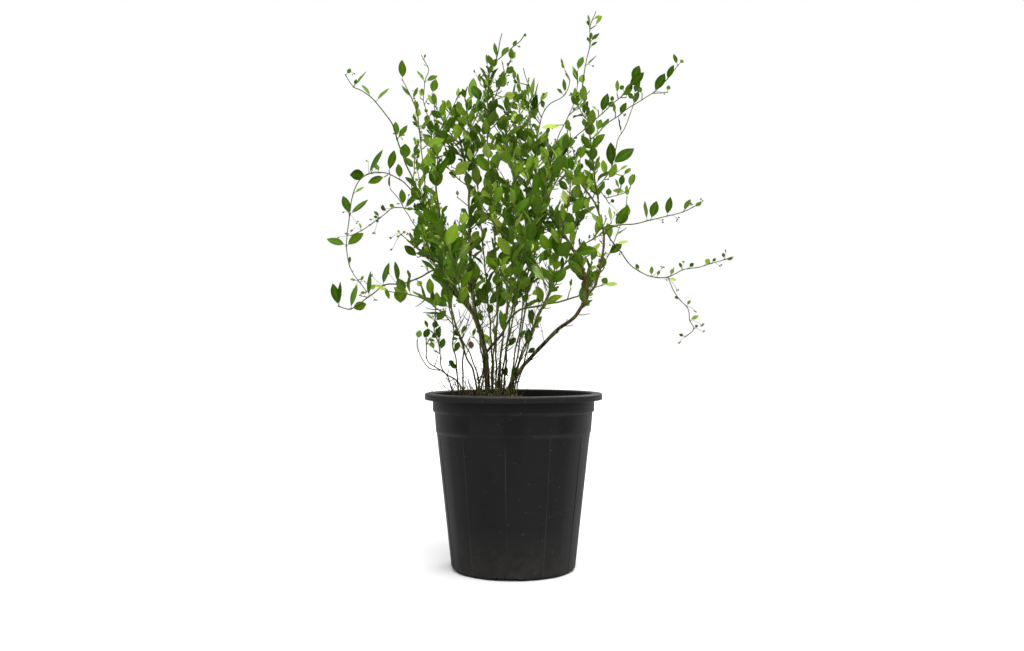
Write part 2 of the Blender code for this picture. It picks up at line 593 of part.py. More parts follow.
def shoot_on(parent, number, occupied):
    """A side shoot on the leafy part of a stem, or None where there is no room for it."""
    draw = random.Random(f"{parent.name} shoot {number}")
    for _ in range(TRIES):
        start, along = parent.at(parent.length() * draw.uniform(*SHOOT_PLACES))
        level, other = across_directions(along)
        turn = draw.uniform(0, math.tau)
        side = math.cos(turn) * level + math.sin(turn) * other
        way = math.cos(SHOOT_ANGLE) * along + math.sin(SHOOT_ANGLE) * side
        length = draw.uniform(*SHOOT_LENGTH)
        rise = UP * length * SHOOT_RISE
        route = [start + way * length * share + rise * share**2 for share in SHOOT_SHARES]
        if start.z < parent.bare or in_gap(start, way, length):
            continue
        line = straightened(smooth(route))
        radii = [SHOOT_RADIUS + CLEARANCE] * len(line)
        middle, reach = middle_and_reach(line)
        if not occupied.meets(tube_shell(line, radii), middle, reach, {parent}):
            name = f"{parent.name}_shoot_{number}"
            leaf = parent.leaf * SHOOT_LEAF
            return Branch(name, parent.node, parent, line, SHOOT_RADIUS, SHOOT_TIP, 0, leaf, UPTURN, 0)
    return None


def seen(point):
    """A point's place in the front view, across and down."""
    unit = VIEW_UNIT * (1 + point.y / EYE_DISTANCE)
    return Vector((AXIS_ACROSS + point.x / unit, HORIZON_DOWN - (point.z - EYE_HEIGHT) / unit))


def in_gap(root, along, length):
    """Whether what grows from the root in this direction would be seen in one of the crown's gaps."""
    places = [seen(root + along * length * share) for share in GAP_SHARES]
    return any((place - Vector(gap[:2])).length < gap[2] for gap in GAPS for place in places)


def nearest_place(branches, foot):
    """How near in the front view a branch passes to this place, which branch, and how far along it."""
    found = []
    for branch in branches:
        passed = 0.0
        for start, end in zip(branch.line, branch.line[1:]):
            low = seen(start)
            high = seen(end)
            share = min(1, max(0, intersect_point_line(foot, low, high)[1]))
            away = (low.lerp(high, share) - foot).length
            found.append((away, branch, passed + share * (end - start).length))
            passed += (end - start).length
    return min(found, key=lambda item: item[0])


def twig_to(foot, parent, distance, name, occupied):
    """A twig from the nearest branch up to this place in the front view, or None where none fits."""
    near = parent.at(distance)[0]
    for behind in TWIG_DEPTHS:
        end = placed((*foot, near.y / MM + behind))
        start = parent.at(max(0, distance - TWIG_RISE * (end - near).length))[0]
        line = [start, end]
        middle, reach = middle_and_reach(line)
        if not occupied.meets(tube_shell(line, [SHOOT_RADIUS + CLEARANCE] * 2), middle, reach, {parent}):
            return Branch(name, parent.node, parent, line, SHOOT_RADIUS, SHOOT_TIP, 0, 1, UPTURN, 0)
    return None


def traced_leaf(branch, distance, traced, leaves, occupied):
    """The leaf traced at this place, or None where it grows through something other than its own pair."""
    tip_across, tip_down, width = traced[2:]
    distance = min(distance, branch.length() - TIP_INSET)
    root = branch.at(distance)[0]
    reach = placed((tip_across, tip_down, root.y / MM)) - root
    seen_width = width * VIEW_UNIT * (1 + root.y / EYE_DISTANCE)
    width = max(LEAF_SHAPE * reach.length, seen_width)
    turn = math.acos(seen_width / width)
    to_eye = Vector((0, -EYE_DISTANCE, EYE_HEIGHT)) - root
    flat = reach.normalized()
    to_front = (to_eye - flat * to_eye.dot(flat)).normalized()
    pair = {leaf for leaf in leaves if leaf.branch is branch and abs(leaf.distance - distance) < PAIR_REACH}
    for attempt in range(TRIES):
        lean = TRACED_LEAN * ((attempt + 1) // 2) * (-1) ** attempt
        along = math.cos(lean) * flat + math.sin(lean) * to_front
        facing = math.cos(lean) * to_front - math.sin(lean) * flat
        turned = [Matrix.Rotation(way * turn, 3, along) @ facing for way in (-1, 1)]
        facing = max(turned, key=lambda way: way.z)
        leaf = Leaf(branch, root, along, facing, reach.length / math.cos(lean), width, distance)
        shell = blade_shell(leaf, CLEARANCE)
        middle, radius = middle_and_reach(shell[0])
        if not occupied.meets(shell, middle, radius, {branch, *pair}):
            occupied.add(leaf, blade_shell(leaf, 0), middle, radius)
            return leaf
    return None


def leaf_at(branch, distance, turn, angle, draw):
    """A leaf that leaves the branch at this distance, on the side that `turn` gives."""
    root, along = branch.at(distance)
    level, other = across_directions(along)
    side = math.cos(turn) * level + math.sin(turn) * other
    way = math.cos(angle) * along + math.sin(angle) * side
    upturn = branch.upturn * draw.uniform(*UPTURN_DRAW)
    way = (way * (1 - min(upturn, MOST_UPTURN)) + UP * upturn).normalized()
    facing = math.sin(angle) * along - math.cos(angle) * side
    facing = (facing - way * facing.dot(way)).normalized()
    facing.rotate(Matrix.Rotation(draw.uniform(-LEAF_ROLL, LEAF_ROLL), 3, way))
    last_quarter = max(0, 4 * distance / branch.length() - 3)
    length = LEAF_LENGTH * branch.leaf * draw.uniform(*LENGTH_DRAW) * (1 - TIP_LEAF_SHRINK * last_quarter)
    width = length * LEAF_SHAPE * draw.uniform(*WIDTH_DRAW)
    return Leaf(branch, root, way, facing, length, width, distance)


def fitted_leaf(branch, number, distance, turn, angle, occupied):
    """The leaf at this place, turned until it grows through nothing, or None where nothing fits."""
    draw = random.Random(f"{branch.name} leaf {number}")
    for attempt in range(TRIES):
        swing = FIRST_SWING + SWING_STEP * attempt
        leaf = leaf_at(branch, distance, turn + draw.uniform(-swing, swing), angle, draw)
        shell = blade_shell(leaf, CLEARANCE)
        middle, reach = middle_and_reach(shell[0])
        in_open = in_gap(leaf.root, leaf.along, leaf.length)
        if not in_open and not occupied.meets(shell, middle, reach, {branch}):
            occupied.add(leaf, blade_shell(leaf, 0), middle, reach)
            return leaf
    return None


def leaves_on(branch, traced, occupied):
    """Leaves at even distances up a branch, away from its traced ones, each a quarter turn on."""
    start_turn = random.Random(f"{branch.name} turn").uniform(0, math.tau)
    length = branch.length()
    count = int((length - FIRST_LEAF) / LEAF_SPACING)
    found = []
    for number in range(count + 1):
        distance = length - TIP_INSET - number * LEAF_SPACING
        if distance < FIRST_LEAF or branch.at(distance)[0].z < branch.bare:
            continue
        if near_traced(branch, distance, traced):
            continue
        turn = start_turn + number * math.pi / 2
        angle = LEAF_ANGLE if number else TIP_LEAF_ANGLE
        found.append(fitted_leaf(branch, number, distance, turn, angle, occupied))
    return [leaf for leaf in found if leaf]


def near_traced(branch, distance, traced):
    return any(leaf.branch is branch and abs(leaf.distance - distance) < TRACED_REACH for leaf in traced)


def whole_plant():
    """All branches and leaves, none growing through another."""
    branches = traced_branches()
    occupied = Occupied()
    for branch in branches:
        occupied.add(branch, tube_shell(branch.line, branch.radii()), *middle_and_reach(branch.line))
    for branch in list(branches):
        for number in range(branch.shoots):
            shoot = shoot_on(branch, number, occupied)
            if shoot:
                occupied.add(shoot, tube_shell(shoot.line, shoot.radii()), *middle_and_reach(shoot.line))
                branches.append(shoot)
    leaves = []
    for number, traced in enumerate(TRACED_LEAVES):
        foot = Vector(traced[:2])
        away, branch, distance = nearest_place(branches, foot)
        if away > FOOT_REACH:
            branch = twig_to(foot, branch, distance, f"twig_{number}", occupied)
            if not branch:
                continue
            occupied.add(branch, tube_shell(branch.line, branch.radii()), *middle_and_reach(branch.line))
            branches.append(branch)
            distance = branch.length()
        leaf = traced_leaf(branch, distance, traced, leaves, occupied)
        leaves += [leaf] if leaf else []
    for branch in branches:
        leaves += leaves_on(branch, leaves, occupied)
    return branches, leaves


def clear_scene():
    for obj in list(bpy.data.objects):
        bpy.data.objects.remove(obj)


def new_collection(name):
    collection = bpy.data.collections.new(name)
    bpy.context.scene.collection.children.link(collection)
    return collection


def material(name, colour, roughness):
    made = bpy.data.materials.new(name)
    made.use_nodes = True
    shader = made.node_tree.nodes["Principled BSDF"]
    shader.inputs["Base Color"].default_value = (*colour, 1)
    shader.inputs["Roughness"].default_value = roughness
    return made


def mesh_object(name, mesh, collection):
    obj = bpy.data.objects.new(name, mesh)
    collection.objects.link(obj)
    return obj


def as_mesh(obj, weld=0.0):
    """Replaces an object by a mesh of what its modifiers or its curve make."""
    graph = bpy.context.evaluated_depsgraph_get()
    mesh = bpy.data.meshes.new_from_object(obj.evaluated_get(graph))
    if weld:
        shape = bmesh.new()
        shape.from_mesh(mesh)
        bmesh.ops.remove_doubles(shape, verts=shape.verts, dist=weld)
        bmesh.ops.recalc_face_normals(shape, faces=shape.faces)
        shape.to_mesh(mesh)
        shape.free()
    name = obj.name
    obj.name = f"{name}_source"
    made = mesh_object(name, mesh, obj.users_collection[0])
    made.matrix_world = obj.matrix_world
    bpy.data.objects.remove(obj)
    return made


def evening(sides):
    """How far out a polygon's corners stand where it has the area of a round section of radius 1."""
    return math.sqrt(math.tau / (sides * math.sin(math.tau / sides)))


def section_curve(sides):
    """The closed outline that gives a thin tube its few sides."""
    outline = bpy.data.curves.new("section", "CURVE")
    spline = outline.splines.new("POLY")
    spline.points.add(sides - 1)
    for number, point in enumerate(spline.points):
        turn = math.tau * number / sides
        point.co = (math.cos(turn), math.sin(turn), 0, 1)
    spline.use_cyclic_u = True
    return bpy.data.objects.new("section", outline)


def tube(name, line, radii, sides, collection):
    """A closed tube round a line, with its corners at the radii."""
    curve = bpy.data.curves.new(name, "CURVE")
    curve.dimensions = "3D"
    curve.bevel_mode = "OBJECT"
    curve.bevel_object = section_curve(sides)
    curve.use_fill_caps = True
    spline = curve.splines.new("POLY")
    spline.points.add(len(line) - 1)
    for point, place, radius in zip(spline.points, line, radii):
        point.co = (*place, 1)
        point.radius = radius
    section = curve.bevel_object
    obj = mesh_object(name, curve, collection)
    bpy.context.view_layer.update()
    made = as_mesh(obj, weld=WELD)
    bpy.data.objects.remove(section)
    return made


def turned(name, profile, steps, collection):
    """A solid turned from a profile of (radius, height), which runs from the axis to the axis."""
    mesh = bpy.data.meshes.new(name)
    mesh.from_pydata([(radius, 0, height) for radius, height in profile],
                     [(place, place + 1) for place in range(len(profile) - 1)], [])
    obj = mesh_object(name, mesh, collection)
    screw = obj.modifiers.new("Screw", "SCREW")
    screw.steps = steps
    screw.render_steps = steps
    screw.use_merge_vertices = True
    screw.merge_threshold = WELD
    bpy.context.view_layer.update()
    return as_mesh(obj, weld=WELD)


def wall_radius(height):
    """The pot's outer radius on its straight lower wall."""
    share = (height - BASE_ROUNDING) / (BAND_FOOT - STEP_DROP - BASE_ROUNDING)
    return BASE_RADIUS + (WALL_TOP_RADIUS - BASE_RADIUS) * share


def pot_profile():
    """From the floor's middle up the inside, over the lip, and down the outside to the axis."""
    step_foot = BAND_FOOT - STEP_DROP
    lip_inside = LIP_RADIUS - WALL
    inside = [
        (0, FLOOR),
        (wall_radius(FLOOR) - WALL, FLOOR),
        (wall_radius(step_foot) - WALL, step_foot),
        (BAND_RADIUS - WALL, COLLAR_FOOT - STEP_DROP),
        (COLLAR_RADIUS - WALL, COLLAR_FOOT),
        (COLLAR_RADIUS - WALL, POT_HEIGHT - LIP_BEVEL),
        (COLLAR_RADIUS - WALL + LIP_BEVEL, POT_HEIGHT),
    ]
    lip = [
        (LIP_RADIUS - LIP_BEVEL, POT_HEIGHT),
        (LIP_RADIUS, POT_HEIGHT - LIP_BEVEL),
        (LIP_RADIUS, POT_HEIGHT - LIP_DROP),
        (lip_inside, POT_HEIGHT - LIP_DROP),
        (lip_inside, POT_HEIGHT - WALL),
        (COLLAR_RADIUS, POT_HEIGHT - WALL),
    ]
    outside = [
        (COLLAR_RADIUS, COLLAR_FOOT),
        (BAND_RADIUS, COLLAR_FOOT - STEP_DROP),
        (BAND_FOOT_RADIUS, BAND_FOOT),
        (WALL_TOP_RADIUS, step_foot),
        (wall_radius(BASE_ROUNDING), BASE_ROUNDING),
        (BASE_RADIUS - BASE_ROUNDING, 0),
        (0, 0),
    ]
    return inside + lip + outside


def gather_columns(obj):
    """Moves the turned wall's columns so that each panel edge has a narrow raised ridge."""
    panel = math.tau / PANELS
    places = [0, RIDGE_HALF_WIDTH]
    inner = COLUMNS_PER_PANEL - 3
    free = panel - 2 * RIDGE_HALF_WIDTH
    places += [RIDGE_HALF_WIDTH + free * (step + 1) / (inner + 1) for step in range(inner)]
    places += [panel - RIDGE_HALF_WIDTH]
    ridge_top = BAND_FOOT - STEP_DROP
    for vertex in obj.data.vertices:
        radius = math.hypot(vertex.co.x, vertex.co.y)
        if radius < WELD:
            continue
        turn = math.atan2(vertex.co.y, vertex.co.x) % math.tau
        column = round(turn / (panel / COLUMNS_PER_PANEL))
        on_ridge = column % COLUMNS_PER_PANEL == 0
        outer = radius > wall_radius(vertex.co.z) - WALL / 2
        if on_ridge and outer and 0 < vertex.co.z < ridge_top + MM / 10:
            radius += RIDGE_HEIGHT
        turn = places[column % COLUMNS_PER_PANEL] + panel * (column // COLUMNS_PER_PANEL)
        turn += FIRST_RIDGE - math.pi / 2
        vertex.co.x = radius * math.cos(turn)
        vertex.co.y = radius * math.sin(turn)


def notch_cutters(collection):
    """Boxes that cut the drainage notches through the wall's foot and the edge of the floor."""
    size = Vector((NOTCH_WIDTH, NOTCH_DEPTH * 2, NOTCH_HEIGHT * 2))
    for number in range(NOTCHES):
        turn = FIRST_RIDGE + math.tau * number / NOTCHES
        shape = bmesh.new()
        bmesh.ops.create_cube(shape, size=1)
        bmesh.ops.scale(shape, vec=size, verts=shape.verts)
        bmesh.ops.translate(shape, vec=(0, -BASE_RADIUS, 0), verts=shape.verts)
        bmesh.ops.rotate(shape, matrix=Matrix.Rotation(turn, 3, "Z"), verts=shape.verts)
        mesh = bpy.data.meshes.new(f"notch_{number}")
        shape.to_mesh(mesh)
        shape.free()
        mesh_object(f"notch_{number}", mesh, collection)


def combine(obj, others, operation, solver):
    """Cuts a collection's objects from one, or fuses them with it, and removes them."""
    modifier = obj.modifiers.new(operation.title(), "BOOLEAN")
    modifier.operation = operation
    modifier.operand_type = "COLLECTION"
    modifier.collection = others
    modifier.solver = solver
    bpy.context.view_layer.update()
    made = as_mesh(obj)
    for other in list(others.objects):
        bpy.data.objects.remove(other)
    bpy.data.collections.remove(others)
    return made


def finish(obj, surface):
    obj.data.materials.clear()
    obj.data.materials.append(surface)
    obj.data.shade_smooth()
    obj.data.set_sharp_from_angle(angle=SHARP_FROM)


def build_pot(collection):
    pot = turned("pot", pot_profile(), PANELS * COLUMNS_PER_PANEL, collection)
    gather_columns(pot)
    cutters = new_collection("notches")
    notch_cutters(cutters)
    pot = combine(pot, cutters, "DIFFERENCE", "EXACT")
    finish(pot, material("pot_plastic", POT_COLOUR, POT_ROUGHNESS))


def soil_profile():
    """From the surface's middle to the wall, down it to the floor and back to the axis."""
    step_foot = BAND_FOOT - STEP_DROP
    edge = BAND_RADIUS - WALL - SOIL_SIDE_GAP + SOIL_TOP_FLARE
    foot = FLOOR + GAP
    surface = [(edge * ring / SOIL_RINGS, SOIL_LEVEL) for ring in range(SOIL_RINGS)]
    side = [
        (edge, SOIL_LEVEL - SOIL_EDGE_DROP),
        (BAND_RADIUS - WALL - SOIL_SIDE_GAP, COLLAR_FOOT - STEP_DROP - SOIL_EDGE_DROP),
        (wall_radius(step_foot) - WALL - SOIL_SIDE_GAP, step_foot - SOIL_EDGE_DROP),
        (wall_radius(foot) - WALL - SOIL_SIDE_GAP, foot),
    ]
    return surface + side + [(0, foot)]


def soil_height(x, y):
    """The soil's surface: nearly level, heaped round the stems, with low waves."""
    away = (Vector((x, y, 0)) - MOUND_CENTRE).length
    heap = MOUND_HEIGHT * math.exp(-((away / MOUND_SPREAD) ** 2) / 2)
    waves = SOIL_WAVE_HEIGHT * math.sin(x * SOIL_WAVES_ACROSS + 1) * math.cos(y * SOIL_WAVES_BACK)
    return SOIL_LEVEL + heap + waves


def build_soil(collection, branches):
    soil = turned("soil", soil_profile(), SOIL_SIDES, collection)
    for vertex in soil.data.vertices:
        if vertex.co.z > SOIL_LEVEL - WELD:
            vertex.co.z = soil_height(vertex.co.x, vertex.co.y)
    holes = new_collection("stem_holes")
    for branch in branches:
        if not branch.parent:
            hole_cutter(branch, holes)
    soil = combine(soil, holes, "DIFFERENCE", "EXACT")
    finish(soil, material("potting_soil", SOIL_COLOUR, SOIL_ROUGHNESS))


def hole_cutter(branch, collection):
    """The stem's own lower run, a little thicker, from just below its foot to above the soil."""
    top = SOIL_LEVEL + MOUND_HEIGHT + HOLE_REACH
    line = []
    radii = []
    for point, radius in zip(branch.line, branch.radii()):
        line.append(point)
        radii.append(radius)
        if point.z > top:
            break
    line[0] = line[0] - UP * GAP
    sides = stem_sides(branch)
    gap = HOLE_GAP / math.cos(math.pi / sides)
    radii = [radius * evening(sides) + gap for radius in radii]
    tube(f"hole_{branch.name}", line, radii, sides, collection)


def stem_sides(branch):
    return THICK_SIDES if branch.root > THICK_STEM else THIN_SIDES


def blade(name, leaf, collection):
    """A leaf's solid: its outline, given its thickness."""
    shape = bmesh.new()
    offset = leaf.facing * LEAF_THICKNESS
    corners = [shape.verts.new(corner - offset / 2) for corner in blade_corners(leaf)]
    outline = shape.faces.new(corners)
    grown = bmesh.ops.extrude_face_region(shape, geom=[outline])["geom"]
    moved = [item for item in grown if isinstance(item, bmesh.types.BMVert)]
    bmesh.ops.translate(shape, vec=offset, verts=moved)
    bmesh.ops.recalc_face_normals(shape, faces=shape.faces)
    mesh = bpy.data.meshes.new(name)
    shape.to_mesh(mesh)
    shape.free()
    return mesh_object(name, mesh, collection)


def build_leafy_stem(node, branches, leaves, collection, surface):
    """One leafy stem: its branches and leaves fused into one body."""
    grown = new_collection(f"{node}_growth")
    main = None
    for branch in branches:
        where = grown if main else collection
        name = branch.name if main else node
        sides = stem_sides(branch)
        radii = [radius * evening(sides) for radius in branch.radii()]
        made = tube(name, branch.line, radii, sides, where)
        main = main or made
    for number, leaf in enumerate(leaves):
        blade(f"{node}_leaf_{number}", leaf, grown)
    fused = combine(main, grown, "UNION", "MANIFOLD")
    finish(fused, surface)


def main():
    clear_scene()
    plant = new_collection("potted_jojoba")
    branches, leaves = whole_plant()
    build_pot(plant)
    build_soil(plant, branches)
    surface = material("jojoba_leaf", LEAF_COLOUR, LEAF_ROUGHNESS)
    for node in dict.fromkeys(branch.node for branch in branches):
        own_branches = [branch for branch in branches if branch.node == node]
        own_leaves = [leaf for leaf in leaves if leaf.branch.node == node]
        build_leafy_stem(node, own_branches, own_leaves, plant, surface)


main()
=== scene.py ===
"""The looks of a potted jojoba: its pot, soil, stems, leaves and buds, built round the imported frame.

Metres, in the frame's own axes: +Z up, the front towards -Y, the origin under the pot's middle.
"""

import json
import math
import random
from dataclasses import dataclass

import bmesh
import bpy
import numpy as np
from mathutils import Matrix, Vector, noise
from mathutils.bvhtree import BVHTree
from mathutils.geometry import intersect_point_line

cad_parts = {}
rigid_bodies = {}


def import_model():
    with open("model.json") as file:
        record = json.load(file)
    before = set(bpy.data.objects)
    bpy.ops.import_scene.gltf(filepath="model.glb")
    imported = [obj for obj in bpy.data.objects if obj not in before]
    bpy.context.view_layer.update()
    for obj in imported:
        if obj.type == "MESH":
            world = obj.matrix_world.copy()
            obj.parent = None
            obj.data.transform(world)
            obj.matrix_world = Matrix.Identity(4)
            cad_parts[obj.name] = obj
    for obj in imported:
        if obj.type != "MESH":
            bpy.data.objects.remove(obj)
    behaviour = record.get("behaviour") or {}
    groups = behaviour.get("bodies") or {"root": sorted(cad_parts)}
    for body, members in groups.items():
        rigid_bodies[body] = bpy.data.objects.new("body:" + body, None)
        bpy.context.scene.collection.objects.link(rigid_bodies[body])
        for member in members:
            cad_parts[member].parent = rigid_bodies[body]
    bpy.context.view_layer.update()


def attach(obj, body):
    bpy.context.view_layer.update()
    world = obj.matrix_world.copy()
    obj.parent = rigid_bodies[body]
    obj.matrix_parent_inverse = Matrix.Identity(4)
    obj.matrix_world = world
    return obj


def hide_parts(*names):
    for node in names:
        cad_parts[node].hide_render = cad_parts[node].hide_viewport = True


MM = 0.001
UP = Vector((0, 0, 1))

# Pot
POT_HEIGHT = 0.244
LIP_RADIUS = 0.124
LIP_DROP = 0.009
COLLAR_RADIUS = 0.113
COLLAR_FOOT = 0.2195
BAND_RADIUS = 0.1104
BAND_FOOT = 0.1905
BAND_FOOT_RADIUS = 0.1083
WALL_TOP_RADIUS = 0.1074
BASE_RADIUS = 0.0868
BASE_ROUNDING = 0.004
STEP_DROP = 0.002
WALL = 0.002
FLOOR = 0.003
PANELS = 11
PANEL_COLUMNS = 14
FIRST_RIDGE = math.radians(-6)
RIDGE_HEIGHT = 0.0006
RIDGE_HALF_WIDTH = math.radians(0.75)
RIDGE_PLACES = (-2, -1.5, -1, -0.75, -0.5, -0.25, 0, 0.25, 0.5, 0.75, 1, 1.5)
PANEL_HOLLOW = 0.0007
NOTCHES = 5
NOTCH_WIDTH = 0.030
NOTCH_HEIGHT = 0.0042
NOTCH_DEPTH = 0.019
NOTCH_ROUNDING = 0.0012
# How many painted dark reflection patches run round the pot under its collar
SHADE_PATCHES = 9
ARC_STEP = math.radians(18)
WALL_STEP = 0.012

# Soil
SOIL_FLOOR_GAP = 0.0003
SOIL_SIDE_GAP = 0.0011
SOIL_RIM = 0.0015
SOIL_LEVEL = 0.224
SOIL_COLUMNS = 180
SOIL_RINGS = 60
MOUND_HEIGHT = 0.016
MOUND_SPREAD = 0.030
MOUND_CENTRE = Vector((-0.030, -0.002, 0))
STEM_FOOT = 0.196

# Leaves and side shoots of the solids. A spread is the least and the most of a random draw
LEAF_LENGTH = 0.031
LEAF_SHAPE = 0.44
LEAF_THICKNESS = 0.0007
LEAF_ANGLE = math.radians(52)
LEAF_SPACING = 0.064
LEAF_LENGTH_SPREAD = (0.82, 1.14)
LEAF_WIDTH_SPREAD = (0.88, 1.12)
UPTURN = 0.3
UPTURN_SPREAD = (0.6, 1.3)
MOST_UPTURN = 0.9
LEAF_ROLL = 1.2
FIRST_SWING = 0.35
NEXT_SWING = 0.2
BARE_BELOW = 0.36
FIRST_LEAF = 0.010
TIP_INSET = 0.001
TIP_LEAF_ANGLE = math.radians(18)
TIP_LEAF_SHRINK = 0.3
LEAF_CORNERS = ((0, 0), (0.3, 0.92), (0.68, 0.8), (1, 0), (0.68, -0.8), (0.3, -0.92))
SHOOT_RADIUS = 0.0009
SHOOT_TIP = 0.0007
SHOOT_LENGTH = (0.038, 0.070)
SHOOT_ANGLE = math.radians(50)
SHOOT_RISE = 0.25
SHOOT_SPREAD = (0.45, 0.9)
SHOOT_SHARES = (0, 0.3, 0.65, 1)
SHOOT_LEAF = 0.85
CLEARANCE = 0.0008
TRIES = 8

# Traced leaves. FOOT_REACH is in the front view's units, and TWIG_DEPTHS is in mm towards the back
TRACED_LEAN = 0.13
TRACED_REACH = 0.014
PAIR_REACH = 0.004
FOOT_REACH = 3.5
TWIG_RISE = 0.8
GAP_SHARES = (0.35, 0.7, 1)
TWIG_DEPTHS = (0, -6, 6, -12, 12)

# Stems of the solids
CURVE_STEP = 0.003
ROUTE_TOLERANCE = 0.0019
THICK_STEM = 0.0025

# Stems as shown
RING_SPACING = 0.002
THIN_SIDES = 8
THICK_SIDES = 18
NODE_SWELL = 0.30
SLIMMING = 0.86
NODE_LENGTH = 0.0016
BARK_RELIEF = 0.09
WOOD_TOP = 0.385
WOOD_FADE = 0.10
WOODY_LOW = 0.65
GREEN_RADIUS = 0.0014
GREEN_FADE = 1.2 * MM
WAVER = 0.0017
WAVER_FINENESS = 48
WAVER_FROM = 0.244
WAVER_RISE = 0.03
WAVER_SEED = 1
STUB_TOP = 0.42
STUB_SPACING = (0.012, 0.040)
STUB_LENGTH = (0.002, 0.019)
STUB_RADIUS = 0.00055
STUB_TAPER = (1.5, 1.1, 0.9, 0.7)
STUB_LEAN = (0.3, 0.9)
STUB_RISE = 0.25
STUB_TONE = 0.9
FINE_TWIGS = 5
FINE_TWIG_ACROSS = (460, 543)
FINE_TWIG_SPAN = (0.305, 0.425)
FINE_TWIG_LENGTH = (0.018, 0.062)
FINE_TWIG_RADIUS = 0.00055
FINE_TWIG_TAPER = 0.6
FINE_TWIG_SPREAD = (0, 0.7)
FINE_TWIG_LEAN = (0.5, 1.6)
FINE_TWIG_RISE = 0.35
STRANDS = 64
STRAND_CENTRE = Vector((-0.046, 0.004, 0))
STRAND_SPREAD = Vector((0.048, 0.034, 0))
STRAND_LENGTH = (0.010, 0.082)
STRAND_RADIUS = 0.0005
STRAND_TAPER = (1.3, 1.1, 1, 0.85, 0.6)
STRAND_TWIG_TAPER = (0.9, 0.75, 0.6)

# Leaves as shown
BLADE_OUTLINE = (0.40, 0.69, 0.88, 0.98, 1.0, 0.95, 0.83, 0.62, 0.34)
BLADE_COLUMNS = 6
BLADE_THICKNESS = 0.0004
BLADE_BEND = (-0.35, 0.75)
LEAST_BEND = 0.001
BLADE_TWIST = 0.5
LEAST_FOLD = 6
MORE_FOLD = 18
BLADE_WAVES = (1.2, 2.4)
WAVE_HEIGHT = (0.0002, 0.0007)
BLADE_SKEW = (0.9, 1.1)
MIDRIB_WIDTH = 0.0006
MIDRIB_DEPTH = 0.00022
FOLD_ROUNDING = 0.0005
RIM_DROP = 0.05
PETIOLE_LENGTH = 0.0026
PETIOLE_RADIUS = 0.0004
PETIOLE_SIDES = 5
PETIOLE_TAPER = (1.5, 1, 1, 0.5)
PETIOLE_ROOT = 0.6
BETWEEN_PLACES = (0.27, 0.5, 0.75)
BETWEEN_SWAY = 0.07
MORE_FIRST_SWING = 0.15
MORE_NEXT_SWING = 0.12
TRACED_EASE = 0.45
LEAF_TONE = 0.28
TIP_TONE = 0.07
TONE_SPREAD = 0.175
YOUNG_SHARE = 0.13
YOUNG_TONE = 0.37
NEW_SHOOTS_A_METRE = 4
FIRST_NEW_SHOOT = 100
SMALL_LEAF_SPACING = (0.007, 0.020)
SMALL_LEAF_FROM = 0.40
SMALL_LEAF_SIZE = (0.28, 0.55)
CROWN_SHOOTS = {
    "top_middle": 4, "centre_left": 4, "centre_tall": 3, "trunk_middle_arm": 4, "top_left": 2,
    "left_crown": 2, "right_branch": 3, "centre_right": 2,
}
CROWN_SPREAD = (0.66, 0.92)
CROWN_ACROSS = (402, 612)
NEW_SHOOT_SPACING = 0.020
SETTLE_TRIES = 5

# Buds
BUD_LENGTH = 0.0026
BUD_RADIUS = 0.0010
STALK_RADIUS = 0.00024
STALK_LENGTH = (0.008, 0.018)
STALK_SAGS = (-0.6, -0.4, 0.15)
BUD_COUNTS = (2, 3, 3)
BUD_SHARE = 0.16
BUD_SHARES = {
    "right_comb": 0.7, "right_droop": 0.7, "droop_tassel": 0.9, "left_arch": 0.35, "trunk_low_arm": 0.35,
    "trunk_upper_arm": 0.4, "upper_arch": 0.45, "left_arch_twig": 0.7,
}
WOODY_NODES = ("stem_trunk", "stem_right_branch")

# The places of a leaf mesh's materials
BLADE_MATERIAL = 0
STALK_MATERIAL = 1
BUD_MATERIAL = 2

# Soil litter
SOIL_REACH = 0.104
STRAW_REACH = 0.105
FALLEN_REACH = 0.106
ON_MOUND = 0.45
CRUMBS = 900
CHIPS = 150
STRAWS = 90
FALLEN_LEAVES = 26

# Light: each lamp is (name, turn from the front, height above the horizon, softness, strength), in degrees
WORLD_LIGHT = 1.0
LOW_LIGHT = 0.22
HIGH_LIGHT = 0.90
SOFT_LAMPS = (
    ("soft_front", 15, 65, 40, 2.9),
    ("soft_back_right", 140, 38, 35, 1.3),
)
FLOOR_REACH = 60.0
FLOOR_CORNERS = 96

# Camera, in front of the pot's axis: the front view that the stems are traced in
EYE_DISTANCE = 1.402
EYE_HEIGHT = 0.3074
VIEW_UNIT = 0.001404
AXIS_ACROSS = 513.5
HORIZON_DOWN = 347.4
VIEW_WIDTH = 1024
VIEW_HEIGHT = 651
SENSOR = 36.0
LENS = 35.1


@dataclass
class Stem:
    """One traced stem: its radii in mm, the height below which it is bare, its leaves' relative size and how
    far they turn up, and how many side shoots it has.

    Its route is (across, down, behind) points: two places in the front view, and mm behind the pot's axis.
    """

    name: str
    parent: str
    root: float
    tip: float
    route: tuple
    bare: float = BARE_BELOW
    leaf: float = 1.0
    upturn: float = UPTURN
    shoots: int = 0


